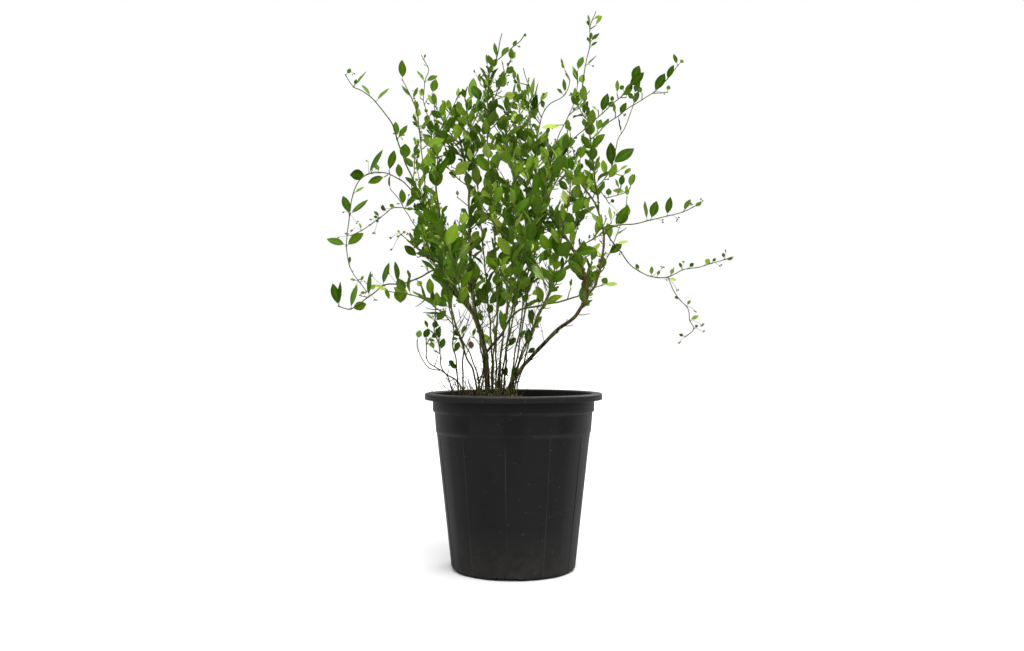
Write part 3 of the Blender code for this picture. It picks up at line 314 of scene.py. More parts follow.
STEMS = (
    Stem("trunk", "", 4.6, 1.2, (
        (488, 414, 0), (487, 375, 0), (485, 352, 0), (480, 332, -4), (473, 314, -10), (463, 301, -18),
        (452, 292, -26), (446, 281, -34), (442, 266, -40), (430, 258, -46), (418, 249, -52),
        (407, 240, -55),
    ), bare=0.42, shoots=1),
    Stem("trunk_right_arm", "trunk", 2.2, 0.9, (
        (485, 354, 0), (494, 343, 5), (502, 333, 9), (510, 319, 13), (519, 310, 15), (537, 306, 16),
        (556, 302, 17), (572, 298, 18), (582, 293, 20), (588, 280, 24), (592, 262, 28),
    ), bare=0.385),
    Stem("trunk_middle_arm", "trunk", 2.6, 0.9, (
        (480, 333, -4), (477, 316, 4), (474, 300, 12), (471, 283, 18), (470, 262, 22), (470, 235, 24),
        (469, 205, 24), (467, 175, 22), (461, 145, 20), (453, 118, 18),
    ), bare=0.38, shoots=1),
    Stem("trunk_upper_arm", "trunk", 2.0, 0.7, (
        (446, 282, -34), (444, 262, -26), (436, 235, -20), (424, 206, -18), (413, 180, -20),
        (404, 160, -24), (397, 140, -28), (391, 122, -32), (375, 100, -38), (361, 90, -42),
        (352, 86, -44), (344, 73, -46),
    ), leaf=0.9, upturn=0.45),
    Stem("trunk_low_arm", "trunk", 1.4, 0.8, (
        (443, 268, -40), (432, 271, -52), (420, 277, -62), (408, 282, -70), (396, 284, -76),
        (383, 286, -80), (370, 295, -82), (360, 303, -82), (350, 309, -80), (338, 306, -78),
    ), bare=0.0, upturn=0.75),
    Stem("right_branch", "", 3.0, 1.5, (
        (501, 414, -4), (510, 386, -8), (522, 368, -11), (538, 350, -16), (557, 330, -20),
        (569, 321, -22), (577, 314, -22), (583, 303, -22), (588, 294, -22), (585, 278, -18),
        (580, 262, -12), (572, 248, -6), (561, 231, 0), (551, 217, 6), (539, 207, 12), (525, 198, 19),
        (511, 187, 25), (498, 176, 30), (486, 167, 34),
    ), bare=0.40, shoots=1),
    Stem("right_fork", "right_branch", 2.1, 1.0, (
        (588, 295, -22), (595, 286, -28), (600, 270, -32), (603, 250, -34), (603, 232, -34),
        (599, 213, -30), (592, 198, -26), (583, 186, -22), (573, 175, -19), (561, 167, -16),
        (549, 158, -14),
    ), bare=0.385, shoots=1),
    Stem("right_leader", "right_fork", 1.2, 0.7, (
        (599, 213, -30), (597, 192, -38), (594, 168, -44), (591, 140, -48), (587, 112, -50),
        (583, 92, -50), (584, 76, -50), (587, 60, -50), (590, 42, -50), (591, 24, -50), (596, 9, -50),
    ), leaf=0.85, upturn=0.45),
    Stem("right_comb", "right_fork", 1.1, 0.7, (
        (603, 236, -34), (611, 228, -46), (625, 224, -60), (638, 223, -70), (651, 219, -78),
        (668, 215, -84), (684, 211, -86), (701, 202, -86),
    ), bare=0.0, leaf=0.95, upturn=0.75),
    Stem("right_droop", "right_fork", 1.1, 0.7, (
        (602, 226, -32), (609, 236, -20), (618, 248, -10), (630, 264, 0), (640, 272, 6), (652, 277, 10),
        (668, 276, 12), (684, 270, 14), (705, 265, 14), (724, 260, 12), (732, 257, 12),
    ), bare=0.0, leaf=0.6, upturn=0.5),
    Stem("droop_tassel", "right_droop", 0.8, 0.7, (
        (668, 276, 12), (674, 290, 14), (680, 300, 15), (688, 308, 15), (690, 320, 14), (694, 329, 12),
        (685, 337, 10),
    ), bare=0.0, leaf=0.5, upturn=0.2),
    Stem("right_riser", "right_fork", 1.0, 0.7, (
        (592, 199, -26), (597, 188, -14), (605, 178, 0), (611, 169, 5), (614, 157, 8), (617, 146, 12),
        (619, 138, 15), (627, 122, 22), (633, 106, 28), (635, 92, 30),
    ), leaf=0.95),
    Stem("right_cluster", "right_riser", 0.8, 0.7, (
        (597, 188, -14), (602, 192, -9), (607, 197, -5), (613, 196, -2), (621, 194, 0), (628, 191, 2),
        (631, 186, 3),
    ), bare=0.0, leaf=0.5),
    Stem("upper_arch", "", 1.8, 0.7, (
        (503, 414, 12), (505, 370, 15), (508, 335, 19), (514, 300, 25), (524, 262, 33), (537, 225, 41),
        (551, 192, 47), (566, 166, 51), (580, 149, 53), (593, 137, 55), (607, 124, 56), (621, 113, 57),
        (637, 102, 57), (655, 91, 56), (667, 79, 55), (680, 62, 53),
    ), upturn=0.5, shoots=1),
    Stem("inner_arch", "", 1.7, 0.7, (
        (500, 414, -18), (500, 370, -25), (503, 335, -34), (510, 300, -45), (520, 265, -57),
        (533, 228, -69), (547, 190, -79), (560, 158, -87), (573, 139, -91), (590, 123, -94),
        (605, 110, -96), (620, 97, -97), (633, 81, -97),
    ), upturn=0.45, shoots=1),
    Stem("tall_back_right", "", 1.6, 0.7, (
        (510, 414, 26), (515, 370, 34), (521, 335, 44), (527, 300, 56), (533, 262, 68), (539, 225, 78),
        (546, 185, 86), (554, 150, 91), (563, 126, 94), (572, 107, 95), (577, 90, 95), (578, 69, 94),
    ), shoots=1),
    Stem("top_middle", "", 1.7, 0.7, (
        (496, 414, -8), (496, 370, -13), (497, 335, -18), (497, 300, -22), (496, 262, -26),
        (494, 225, -29), (491, 190, -31), (488, 150, -32), (487, 115, -32), (488, 85, -32),
        (491, 67, -32), (500, 56, -32), (511, 47, -32), (519, 40, -32), (524, 33, -32),
    ), leaf=0.9, upturn=0.4, shoots=1),
    Stem("left_long", "", 1.7, 0.7, (
        (479, 414, -14), (475, 378, -21), (468, 360, -28), (461, 342, -35), (454, 320, -42),
        (449, 300, -50), (445, 276, -58), (439, 250, -66), (432, 220, -74), (426, 190, -81),
        (422, 160, -86), (419, 135, -90), (417, 114, -92), (411, 98, -93), (401, 78, -93),
    ), shoots=1),
    Stem("left_low", "", 1.3, 0.7, (
        (482, 414, -30), (478, 378, -40), (470, 354, -50), (461, 338, -58), (452, 323, -66),
        (441, 312, -72), (430, 303, -78), (419, 298, -84), (405, 294, -90), (388, 291, -95),
    ), bare=0.34, upturn=0.4),
    Stem("low_left_elbow", "", 1.5, 0.7, (
        (473, 414, -14), (460, 385, -28), (446, 374, -42), (435, 367, -52), (427, 360, -58),
        (426, 348, -62), (426, 338, -64),
    ), bare=0.305, leaf=0.75),
    Stem("low_left_elbow_tip", "low_left_elbow", 0.9, 0.7, (
        (440, 371, -46), (428, 367, -42), (421, 357, -40), (418, 348, -40), (417, 339, -40),
    ), bare=0.30, leaf=0.6),
    Stem("low_left_upright", "", 1.3, 0.7, (
        (457, 414, -8), (450, 383, -20), (442, 367, -30), (440, 352, -38), (437, 340, -44),
        (434, 328, -48), (435, 314, -50), (436, 301, -50),
    ), bare=0.30, leaf=0.75),
    Stem("left_back", "", 1.4, 0.7, (
        (461, 414, 20), (458, 384, 29), (456, 362, 38), (453, 344, 46), (454, 331, 52), (451, 315, 59),
        (447, 298, 67), (438, 272, 78), (427, 247, 90), (414, 224, 100), (402, 205, 108), (390, 188, 114),
    )),
    Stem("left_crown", "", 1.5, 0.7, (
        (467, 414, 6), (463, 384, 13), (463, 362, 20), (464, 348, 26), (461, 338, 31), (455, 324, 37),
        (451, 306, 45), (452, 284, 54), (450, 252, 65), (441, 217, 75), (435, 180, 83), (434, 145, 88),
        (434, 115, 91), (432, 92, 92),
    ), shoots=1),
    Stem("left_arch", "", 1.7, 0.7, (
        (476, 414, 34), (479, 385, 44), (484, 362, 52), (482, 340, 59), (474, 317, 67), (463, 299, 73),
        (450, 276, 78), (439, 241, 86), (426, 210, 90), (411, 189, 90), (398, 178, 88), (384, 172, 84),
        (368, 173, 78), (357, 182, 72), (351, 198, 68), (349, 216, 66), (346, 245, 64), (349, 265, 63),
        (358, 280, 62), (366, 292, 62),
    ), upturn=0.45),
    Stem("left_arch_twig", "left_arch", 0.9, 0.7, (
        (426, 210, 90), (412, 208, 78), (401, 207, 70), (390, 209, 64), (378, 219, 60), (362, 230, 56),
        (350, 235, 54),
    ), bare=0.0, leaf=0.5),
    Stem("top_left", "", 1.6, 0.7, (
        (487, 414, 24), (485, 378, 33), (481, 346, 43), (475, 310, 56), (467, 270, 69), (456, 246, 77),
        (442, 222, 84), (436, 192, 90), (434, 160, 96), (430, 128, 101), (424, 102, 103), (424, 82, 103),
        (428, 68, 102), (421, 53, 100),
    ), leaf=0.9, shoots=1),
    Stem("front_middle", "", 1.6, 0.7, (
        (497, 414, -36), (499, 372, -58), (503, 336, -82), (508, 300, -106), (512, 264, -128),
        (514, 230, -146), (514, 196, -160), (511, 166, -170), (506, 140, -178),
    ), shoots=2),
    Stem("front_left", "", 1.5, 0.7, (
        (487, 414, -38), (487, 386, -56), (486, 362, -74), (481, 338, -92), (473, 317, -105),
        (462, 298, -116), (453, 264, -132), (441, 234, -148), (437, 202, -161), (436, 178, -170),
        (437, 156, -178),
    ), shoots=1),
    Stem("front_right", "", 1.6, 0.7, (
        (508, 414, -24), (513, 380, -46), (520, 358, -60), (527, 340, -74), (536, 321, -89),
        (545, 303, -102), (554, 272, -122), (562, 238, -140), (568, 204, -154), (572, 172, -164),
    ), shoots=1),
    Stem("back_middle", "", 1.6, 0.7, (
        (493, 414, 42), (493, 374, 62), (495, 338, 86), (499, 300, 112), (505, 262, 136), (511, 224, 156),
        (516, 187, 172), (519, 150, 184), (520, 116, 192), (519, 92, 196),
    ), shoots=2),
    Stem("back_left", "", 1.5, 0.7, (
        (481, 414, 46), (482, 386, 61), (486, 362, 76), (484, 341, 92), (476, 320, 107), (464, 300, 121),
        (444, 268, 142), (430, 228, 160), (422, 194, 174), (416, 162, 184),
    ), shoots=1),
    Stem("back_right", "", 1.6, 0.7, (
        (512, 414, 15), (516, 380, 21), (520, 361, 28), (525, 349, 43), (530, 336, 62), (534, 323, 79),
        (542, 308, 94), (562, 272, 118), (576, 232, 138), (586, 194, 154), (593, 158, 166),
        (598, 130, 172),
    ), shoots=1),
    Stem("centre_tall", "", 1.7, 0.7, (
        (499, 414, 4), (503, 366, 7), (511, 326, 7), (518, 286, 6), (523, 246, 6), (526, 206, 8),
        (527, 166, 9), (528, 126, 9), (531, 98, 9),
    ), shoots=2),
    Stem("centre_left", "", 1.7, 0.7, (
        (491, 414, 15), (492, 372, 20), (491, 336, 25), (488, 300, 30), (485, 262, 34), (481, 225, 37),
        (477, 185, 39), (473, 145, 40), (471, 116, 40), (471, 98, 40),
    ), shoots=2),
    Stem("right_low", "", 1.4, 0.7, (
        (515, 414, -14), (515, 386, -21), (522, 367, -29), (526, 354, -36), (530, 340, -44),
        (535, 324, -53), (542, 308, -62), (551, 288, -72), (563, 266, -84), (579, 248, -95),
        (597, 236, -104), (612, 222, -110),
    )),
    Stem("low_back_right", "", 1.4, 0.7, (
        (516, 414, 32), (518, 382, 50), (526, 364, 64), (541, 347, 80), (558, 330, 97), (575, 315, 110),
        (586, 297, 123), (598, 275, 136), (611, 250, 148), (622, 222, 156), (628, 196, 160),
    )),
    Stem("centre_right", "", 1.6, 0.7, (
        (507, 414, 6), (513, 368, 14), (520, 328, 21), (526, 288, 25), (532, 248, 26), (535, 208, 28),
        (536, 168, 27), (538, 132, 24), (547, 105, 20), (564, 95, 19), (570, 80, 19), (565, 68, 19),
    ), shoots=2),
)

# Leaves traced in the same view: where each one's foot and tip are, across and down, and its width as seen.
# A sixth number is its place in the leaf colours, from 0, dark, to 1, light, or -1 where it is dry
TRACED_LEAVES = (
    # The upper left arm and the tips on the left
    (344, 74, 350, 67, 4, 0.35), (352, 86, 365, 70, 3, 0.35), (352, 86, 355, 78, 3),
    (370, 96, 361, 83, 3, 0.45), (377, 98, 388, 85, 3, 0.4), (397, 137, 396, 120, 6, 0.35),
    (398, 138, 408, 124, 5, 0.25), (400, 77, 401, 58, 8, 0.2), (408, 98, 400, 84, 4, 0.15),
    (412, 99, 417, 86, 3, 0.25), (417, 110, 414, 99, 4), (425, 81, 417, 68, 3), (427, 81, 437, 73, 5),
    (420, 96, 423, 86, 5), (432, 91, 436, 77, 8, 0.3), (400, 112, 398, 104, 3),
    # The left side
    (405, 160, 406, 142, 11, 0.25), (389, 170, 394, 149, 8, 0.15), (368, 174, 383, 149, 4, 0.15),
    (379, 175, 374, 161, 5), (366, 174, 349, 174, 11, 0.05), (384, 176, 367, 182, 7, 0.3),
    (356, 194, 364, 186, 3), (400, 178, 398, 163, 7, 0.2), (417, 157, 418, 147, 4),
    (425, 145, 444, 138, 9), (451, 166, 451, 148, 9, 0.05), (453, 176, 469, 161, 11),
    (433, 188, 432, 166, 10, 0.1), (438, 188, 442, 170, 8), (467, 188, 466, 171, 8),
    (402, 206, 402, 188, 7, 0.3), (405, 206, 418, 192, 6, 0.1), (428, 208, 435, 192, 6),
    (426, 196, 425, 184, 7), (347, 245, 327, 238, 7, 0.25), (347, 246, 363, 231, 8, 0.25),
    (350, 215, 343, 195, 8, 0.15), (350, 214, 368, 199, 5),
    # The low left arm
    (410, 282, 408, 269, 3, 0.2), (397, 284, 396, 260, 5, 0.15), (383, 286, 388, 263, 5, 0.15),
    (385, 287, 389, 301, 4, 0.3), (368, 296, 369, 270, 5, 0.2), (350, 309, 355, 283, 5, 0.35),
    (350, 310, 366, 303, 9, 0.3), (338, 306, 332, 283, 9, 0.1), (338, 305, 340, 281, 4, 0.1),
    (400, 285, 400, 302, 13), (416, 280, 421, 286, 6, 0.8),
    # The tips at the top, from the left to the middle
    (490, 66, 495, 51, 5), (497, 56, 494, 40, 4, 0.2), (500, 56, 509, 45, 5, 0.25),
    (512, 47, 517, 39, 4, 0.3), (522, 36, 526, 31, 3), (487, 64, 486, 52, 2), (480, 82, 479, 72, 3),
    (465, 81, 457, 72, 3), (471, 100, 473, 76, 9, 0.6), (486, 92, 486, 78, 4, 0.7), (500, 87, 503, 68, 5),
    (497, 90, 497, 76, 3), (514, 79, 514, 68, 4), (513, 100, 514, 77, 3), (502, 96, 515, 94, 8, 0.95),
    (531, 100, 534, 77, 5, 0.7), (540, 101, 547, 89, 5, 0.7), (538, 96, 539, 80, 2),
    (565, 124, 541, 126, 4, 0.9),
    # The tips at the top, from the middle to the right
    (570, 79, 565, 71, 2), (565, 92, 563, 77, 4, 0.2), (564, 94, 557, 87, 3, 0.2), (575, 79, 572, 64, 4),
    (578, 68, 583, 54, 6, 0.35), (582, 84, 583, 73, 6), (574, 106, 578, 89, 10, 0.15),
    (581, 101, 583, 88, 5, 0.8), (588, 116, 588, 105, 4), (598, 109, 592, 105, 2),
    (602, 112, 607, 91, 8, 0.05), (613, 103, 616, 112, 3), (618, 92, 618, 78, 4),
    (620, 114, 627, 101, 6, 0.1), (627, 96, 632, 80, 7, 0.05), (633, 80, 640, 64, 9, 0.1),
    (585, 128, 584, 117, 5), (570, 132, 569, 124, 4), (601, 130, 609, 117, 4),
    (594, 139, 600, 131, 4, 0.9), (579, 159, 585, 144, 7), (583, 146, 583, 131, 4, 0.8),
    (560, 146, 576, 139, 7), (592, 169, 591, 155, 3), (634, 104, 640, 90, 6, 0.1),
    (655, 91, 666, 72, 9, 0.05), (668, 79, 673, 64, 6, 0.1), (679, 64, 674, 52, 4, 0.15),
    (680, 63, 684, 58, 4), (595, 18, 602, 13, 3, 0.5), (592, 26, 588, 18, 3, 0.25),
    (590, 42, 586, 34, 3, 0.15), (590, 46, 596, 38, 3),
    # The right side
    (647, 218, 644, 200, 3, 0.3), (651, 219, 657, 200, 9, 0.12), (667, 215, 671, 196, 7.5, 0.15),
    (683, 210, 690, 197, 5, 0.25), (694, 208, 702, 201, 4), (617, 227, 629, 214, 8),
    (628, 219, 628, 204, 7), (612, 223, 609, 206, 3), (609, 241, 608, 222, 8), (606, 253, 622, 242, 8),
    (616, 243, 629, 240, 3, 0.9), (604, 285, 618, 284, 4, 0.8), (592, 286, 594, 270, 6),
    (602, 287, 607, 278, 7), (571, 248, 573, 228, 6, 0.6), (583, 191, 580, 171, 9),
    (587, 190, 593, 171, 9), (591, 192, 597, 184, 8), (570, 208, 563, 189, 8), (572, 215, 584, 196, 10),
    (562, 223, 568, 213, 7), (615, 164, 634, 147, 11, 0.1), (612, 167, 610, 143, 10, 0.1),
    (598, 170, 600, 161, 3), (621, 186, 622, 174, 5, 0.25), (631, 188, 633, 173, 6, 0.5),
    (627, 192, 613, 189, 5, 0.75), (610, 203, 615, 199, 4, 0.05), (584, 255, 584, 240, 7),
    (590, 255, 600, 242, 5), (609, 179, 617, 165, 8, 0.6), (619, 170, 628, 164, 3, 0.6),
    (605, 175, 603, 159, 6, 0.5), (608, 197, 609, 187, 6, 0.2), (617, 188, 615, 178, 3),
    # The drooping arm and its tassel
    (639, 272, 636, 264, 4), (651, 275, 652, 266, 4), (657, 276, 660, 269, 3), (670, 276, 673, 268, 4),
    (668, 278, 677, 280, 3), (683, 271, 680, 263, 3), (689, 270, 694, 263, 4), (705, 266, 710, 258, 6),
    (712, 264, 716, 257, 3), (725, 260, 733, 258, 3), (725, 260, 723, 252, 3), (691, 320, 699, 315, 4),
    (694, 329, 698, 325, 3), (680, 300, 675, 296, 3), (686, 307, 690, 300, 3), (685, 337, 679, 334, 3),
    # The middle
    (545, 283, 533, 262, 8, 0.85), (545, 289, 551, 301, 9, 1.0), (531, 295, 541, 290, 6, 1.0),
    (571, 288, 571, 278, 3), (555, 286, 552, 270, 5), (464, 228, 464, 211, 9), (469, 232, 479, 217, 7),
    (479, 210, 478, 190, 12), (548, 252, 558, 229, 9), (548, 267, 559, 250, 9),
    (541, 262, 552, 249, 9, 0.3), (545, 252, 541, 233, 10, 0.35), (567, 262, 566, 245, 6, 0.15),
    (562, 272, 563, 256, 4, 0.1), (574, 270, 571, 252, 8, 0.1), (591, 285, 589, 266, 7, 0.2),
    (597, 284, 597, 268, 6, 0.4), (417, 243, 418, 223, 8, 0.15), (417, 257, 404, 245, 8, 0.1),
    (459, 270, 459, 252, 11, 0.7), (455, 288, 458, 273, 10, 0.7), (477, 281, 476, 263, 8),
    (445, 222, 444, 212, 3),
    # The lower stems
    (430, 296, 429, 278, 8), (435, 309, 437, 292, 9), (435, 322, 446, 310, 7, 0.3),
    (433, 331, 436, 320, 6, 0.1), (434, 321, 426, 313, 3), (428, 329, 425, 320, 3),
    (417, 340, 420, 330, 6, 0.6), (426, 339, 427, 329, 7, 0.05), (438, 338, 440, 326, 5, 0.15),
    (439, 351, 444, 338, 6), (434, 350, 431, 341, 4, 0.6), (456, 366, 448, 361, 5, 0.1),
    (460, 341, 454, 352, 5, 0.1), (460, 339, 451, 339, 3, 0.2), (458, 339, 454, 331, 4),
    (462, 336, 465, 325, 3), (470, 338, 472, 349, 6, -1), (492, 316, 490, 305, 7, 0.15),
    (475, 326, 473, 336, 3, 0.1), (497, 309, 504, 293, 10, 0.1), (504, 332, 502, 309, 8, 0.3),
    (508, 348, 517, 338, 5), (521, 341, 522, 333, 4), (527, 346, 529, 328, 8, 0.05),
    (532, 327, 528, 308, 5, 0.2), (534, 329, 538, 319, 5, 0.6), (529, 355, 535, 348, 5),
    (509, 378, 517, 368, 6, 0.0), (506, 379, 507, 366, 5, 0.0), (541, 312, 546, 302, 4, 0.5),
    (538, 304, 541, 291, 6, 0.0), (513, 297, 512, 286, 6), (482, 305, 470, 298, 6, 0.6),
    (484, 301, 491, 288, 8, 0.25), (485, 300, 484, 283, 7, 0.05),
)

# More leaves traced in this way, too small for the solids
SMALL_TRACED_LEAVES = (
    (474, 186, 479, 173, 7, 0.1), (484, 121, 497, 101, 11, 0.2), (497, 134, 504, 113, 10, 0.15),
    (424, 123, 429, 112, 6, 0.2), (414, 112, 416, 101, 4, 0.4), (449, 112, 449, 99, 4, 0.1),
    (452, 109, 457, 103, 4, 0.1), (458, 150, 461, 141, 7, 0.15), (470, 137, 473, 129, 6, 0.2),
    (434, 159, 428, 146, 5, 0.5), (412, 183, 417, 178, 4, 0.8), (418, 214, 415, 203, 5, 0.1),
    (430, 217, 436, 205, 8, 0.05), (500, 196, 509, 177, 9, 0.1), (512, 207, 524, 197, 10, 0.2),
    (538, 158, 539, 136, 13, 0.1), (574, 170, 570, 156, 7, 0.1), (559, 188, 559, 174, 7, 0.5),
    (526, 178, 531, 161, 8, 0.25), (537, 195, 536, 171, 8, 0.3), (544, 208, 547, 196, 6, 0.3),
    (541, 115, 545, 103, 5, 0.1), (547, 134, 549, 126, 4, 0.1), (512, 124, 518, 119, 4, 0.1),
    (449, 206, 449, 198, 2.5, 0.4), (457, 197, 457, 190, 3, 0.4), (432, 331, 440, 318, 8, 0.1),
    (433, 332, 441, 327, 5, 0.1), (441, 329, 438, 338, 4, 0.1), (429, 337, 435, 341, 3, 0.3),
    (435, 352, 443, 346, 5, 0.25), (428, 343, 433, 346, 3, 0.5), (429, 330, 424, 337, 6, 0.05),
    (456, 371, 450, 361, 5, 0.05), (351, 214, 368, 199, 5, 0.3), (490, 66, 494, 52, 5, 0.2),
    (466, 81, 457, 73, 4, 0.2), (486, 62, 486, 53, 2, 0.6), (615, 226, 629, 205, 9, 0.15),
    (607, 253, 621, 242, 7, 0.2), (503, 325, 505, 313, 6, 0.2), (491, 316, 491, 304, 6, 0.15),
    (529, 322, 533, 311, 6, 0.2), (520, 338, 525, 330, 4, 0.3), (508, 345, 516, 338, 5, 0.3),
    (537, 326, 541, 316, 4, 0.4), (483, 322, 478, 312, 5, 0.3), (497, 338, 493, 328, 4, 0.3),
    (474, 309, 480, 298, 6, 0.2), (512, 309, 517, 299, 6, 0.25), (524, 305, 528, 293, 6, 0.2),
    (463, 306, 457, 297, 5, 0.3), (351, 265, 350, 256, 3, 0.2), (379, 217, 374, 210, 3, 0.15),
    (379, 217, 373, 216, 3, 0.15), (379, 218, 376, 222, 3, 0.2), (400, 234, 405, 231, 3, 0.6),
    (400, 234, 397, 230, 2.5, 0.6), (400, 235, 396, 237, 2.5, 0.5), (396, 207, 389, 205, 4, 0.4),
    (361, 230, 359, 222, 2.5, 0.6), (360, 283, 363, 275, 3, 0.4), (358, 281, 350, 279, 2.5, 0.4),
    (359, 295, 364, 291, 3, 0.4), (509, 379, 517, 367, 6, 0.05), (513, 372, 519, 366, 4, 0.1),
    (536, 331, 538, 320, 5, 0.5), (530, 320, 532, 309, 6, 0.2), (576, 81, 573, 66, 5, 0.3),
    (580, 82, 584, 73, 5, 0.1), (617, 97, 617, 79, 4, 0.1), (611, 101, 613, 95, 4, 0.1),
    (616, 111, 613, 100, 3, 0.2), (589, 118, 588, 106, 4, 0.15), (603, 128, 610, 117, 4, 0.1),
    (669, 91, 670, 84, 4, 0.3), (630, 87, 644, 72, 9, 0.1), (627, 92, 621, 84, 5, 0.2),
    (622, 95, 631, 88, 5, 0.3), (634, 99, 628, 91, 5, 0.2), (606, 106, 615, 99, 5, 0.15),
    (643, 92, 638, 84, 5, 0.15), (589, 24, 589, 12, 2.5, 0.4), (591, 40, 598, 30, 4, 0.15),
    (590, 40, 590, 30, 3.5, 0.3), (596, 24, 603, 14, 3, 0.5), (585, 64, 598, 54, 1.6, 0.3),
    (432, 327, 441, 316, 7, 0.1), (431, 325, 426, 313, 4, 0.2), (427, 331, 425, 320, 3, 0.2),
    (437, 351, 446, 342, 5, 0.25), (436, 350, 431, 343, 4, 0.35), (440, 336, 436, 328, 5, 0.05),
    (430, 338, 437, 334, 5, 0.1), (442, 345, 445, 337, 4, 0.2), (452, 338, 456, 330, 4, 0.15),
    (454, 351, 459, 342, 5, 0.15), (463, 333, 466, 325, 3, 0.1),
    (612, 178, 616, 164, 6, 0.6), (620, 187, 623, 174, 6, 0.15), (631, 188, 635, 173, 4.5, 0.2),
    (624, 176, 631, 167, 4, 0.4), (609, 184, 604, 173, 5, 0.3), (482, 331, 492, 345, 7, 0.85),
)

# Gaps in the crown, seen from the front: where each one is, across and down, and its radius.
# The small ones are open to the solids' own leaves and shoots
SMALL_GAPS = ((503, 40, 8), (628, 66, 10), (362, 208, 12), (625, 105, 9), (464, 41, 10))
GAPS = (
    (412, 70, 9), (446, 76, 11), (552, 82, 12), (553, 108, 8), (545, 62, 13), (525, 68, 7), (597, 85, 9),
    (596, 62, 9), (570, 45, 14), (406, 108, 5), (448, 192, 9), (453, 207, 6), (462, 199, 7),
    (487, 222, 4), (385, 193, 9), (393, 222, 12), (404, 222, 6), (383, 243, 14), (418, 266, 6),
    (489, 246, 4), (482, 268, 4), (557, 190, 7), (583, 229, 7), (592, 222, 6), (565, 237, 5),
    (615, 266, 8), (611, 212, 4), (550, 312, 7), (566, 284, 9), (578, 282, 5), (455, 302, 6),
    (506, 171, 9), (425, 158, 4), (361, 112, 20), (330, 82, 20), (375, 130, 16), (640, 140, 14),
    (655, 120, 18), (360, 250, 10), (430, 190, 3), (503, 28, 10), (480, 45, 10), (415, 44, 11),
    (588, 26, 12), (591, 46, 11), (600, 64, 9), (628, 122, 8), (645, 112, 9), (612, 135, 6),
    (597, 151, 5), (561, 134, 6), (575, 130, 5), (590, 138, 5), (408, 215, 7), (440, 199, 6),
    (388, 106, 12), (570, 300, 9), (528, 64, 9), (536, 16, 15), (527, 44, 11), (449, 312, 8),
    (452, 292, 5), (611, 262, 7),
)


@dataclass(eq=False)
class Branch:
    """A stem or side shoot: its solid's line of straight runs, its smooth curve, and what grows on it."""

    name: str
    node: str
    parent: object
    line: list
    curve: list
    root: float
    tip: float
    bare: float
    leaf: float
    upturn: float
    shoots: int

    def length(self):
        return sum((end - start).length for start, end in zip(self.line, self.line[1:]))

    def at(self, distance):
        """The point at this distance along the line, and the direction there."""
        for start, end in zip(self.line, self.line[1:]):
            run = (end - start).length
            if distance <= run:
                break
            distance -= run
        along = (end - start).normalized()
        return start + along * min(distance, run), along

    def radii(self):
        """The radius at each point of the line."""
        whole = self.length()
        passed = 0.0
        found = [self.root]
        for start, end in zip(self.line, self.line[1:]):
            passed += (end - start).length
            found.append(self.root + (self.tip - self.root) * passed / whole)
        return found


@dataclass(eq=False)
class Leaf:
    """A leaf: where it grows from, its length and facing directions, its size and its place on the branch.

    A traced leaf has no turn round the branch, and may have its own place in the leaf colours.
    """

    branch: Branch
    root: Vector
    along: Vector
    facing: Vector
    length: float
    width: float
    distance: float
    turn: object
    tone: object = None


class Occupied:
    """What stands in the plant's space so far, so that nothing new grows through it."""

    def __init__(self):
        self.shapes = []

    def add(self, owner, shell, centre, reach):
        self.shapes.append((owner, BVHTree.FromPolygons(*shell), centre, reach))

    def add_branch(self, branch, line, radii):
        self.add(branch, tube_shell(line, radii), *middle_and_reach(line))

    def meets(self, shell, centre, reach, apart_from):
        """Whether the shell crosses a shape whose owner isn't in `apart_from`."""
        tree = BVHTree.FromPolygons(*shell)
        for owner, other, other_centre, other_reach in self.shapes:
            if owner in apart_from or (other_centre - centre).length > reach + other_reach:
                continue
            if tree.overlap(other):
                return True
        return False

    def meets_tube(self, line, radius, parent):
        """Whether a tube round the line crosses any shape but its parent's."""
        return self.meets(tube_shell(line, [radius] * len(line)), *middle_and_reach(line), {parent})


def placed(point):
    """The point in metres of a traced one: (across, down, behind)."""
    across, down, behind = point
    depth = behind * MM
    unit = VIEW_UNIT * (1 + depth / EYE_DISTANCE)
    return Vector(((across - AXIS_ACROSS) * unit, depth, EYE_HEIGHT - (down - HORIZON_DOWN) * unit))


def smooth(points):
    """Close points on a curve that passes through all the given ones."""
    ends = [2 * points[0] - points[1], *points, 2 * points[-1] - points[-2]]
    curve = [points[0]]
    for before, start, end, after in zip(ends, ends[1:], ends[2:], ends[3:]):
        steps = max(1, round((end - start).length / CURVE_STEP))
        for step in range(1, steps + 1):
            t = step / steps
            bend = (2 * before - 5 * start + 4 * end - after) * t**2
            twist = (3 * start - before - 3 * end + after) * t**3
            curve.append(0.5 * (2 * start + (end - before) * t + bend + twist))
    return curve


def arched(start, reach, lift, shares):
    """Points along `reach` from the start, each moved along `lift` by the square of its share."""
    return [start + reach * share + lift * share**2 for share in shares]


def wavered(curve):
    """The curve with a slight waver above the soil, the same at each place, so that joints stay joined."""
    moved = []
    for point in curve:
        share = min(1, max(0, (point.z - WAVER_FROM) / WAVER_RISE))
        moved.append(point + noise.noise_vector(point * WAVER_FINENESS) * WAVER * share)
    return moved


def straightened(points):
    """The few of the points whose straight runs stay close to all the rest."""
    start = points[0]
    end = points[-1]
    offsets = [(point - intersect_point_line(point, start, end)[0]).length for point in points[1:-1]]
    if not offsets or max(offsets) < ROUTE_TOLERANCE:
        return [start, end]
    split = offsets.index(max(offsets)) + 1
    return straightened(points[: split + 1])[:-1] + straightened(points[split:])


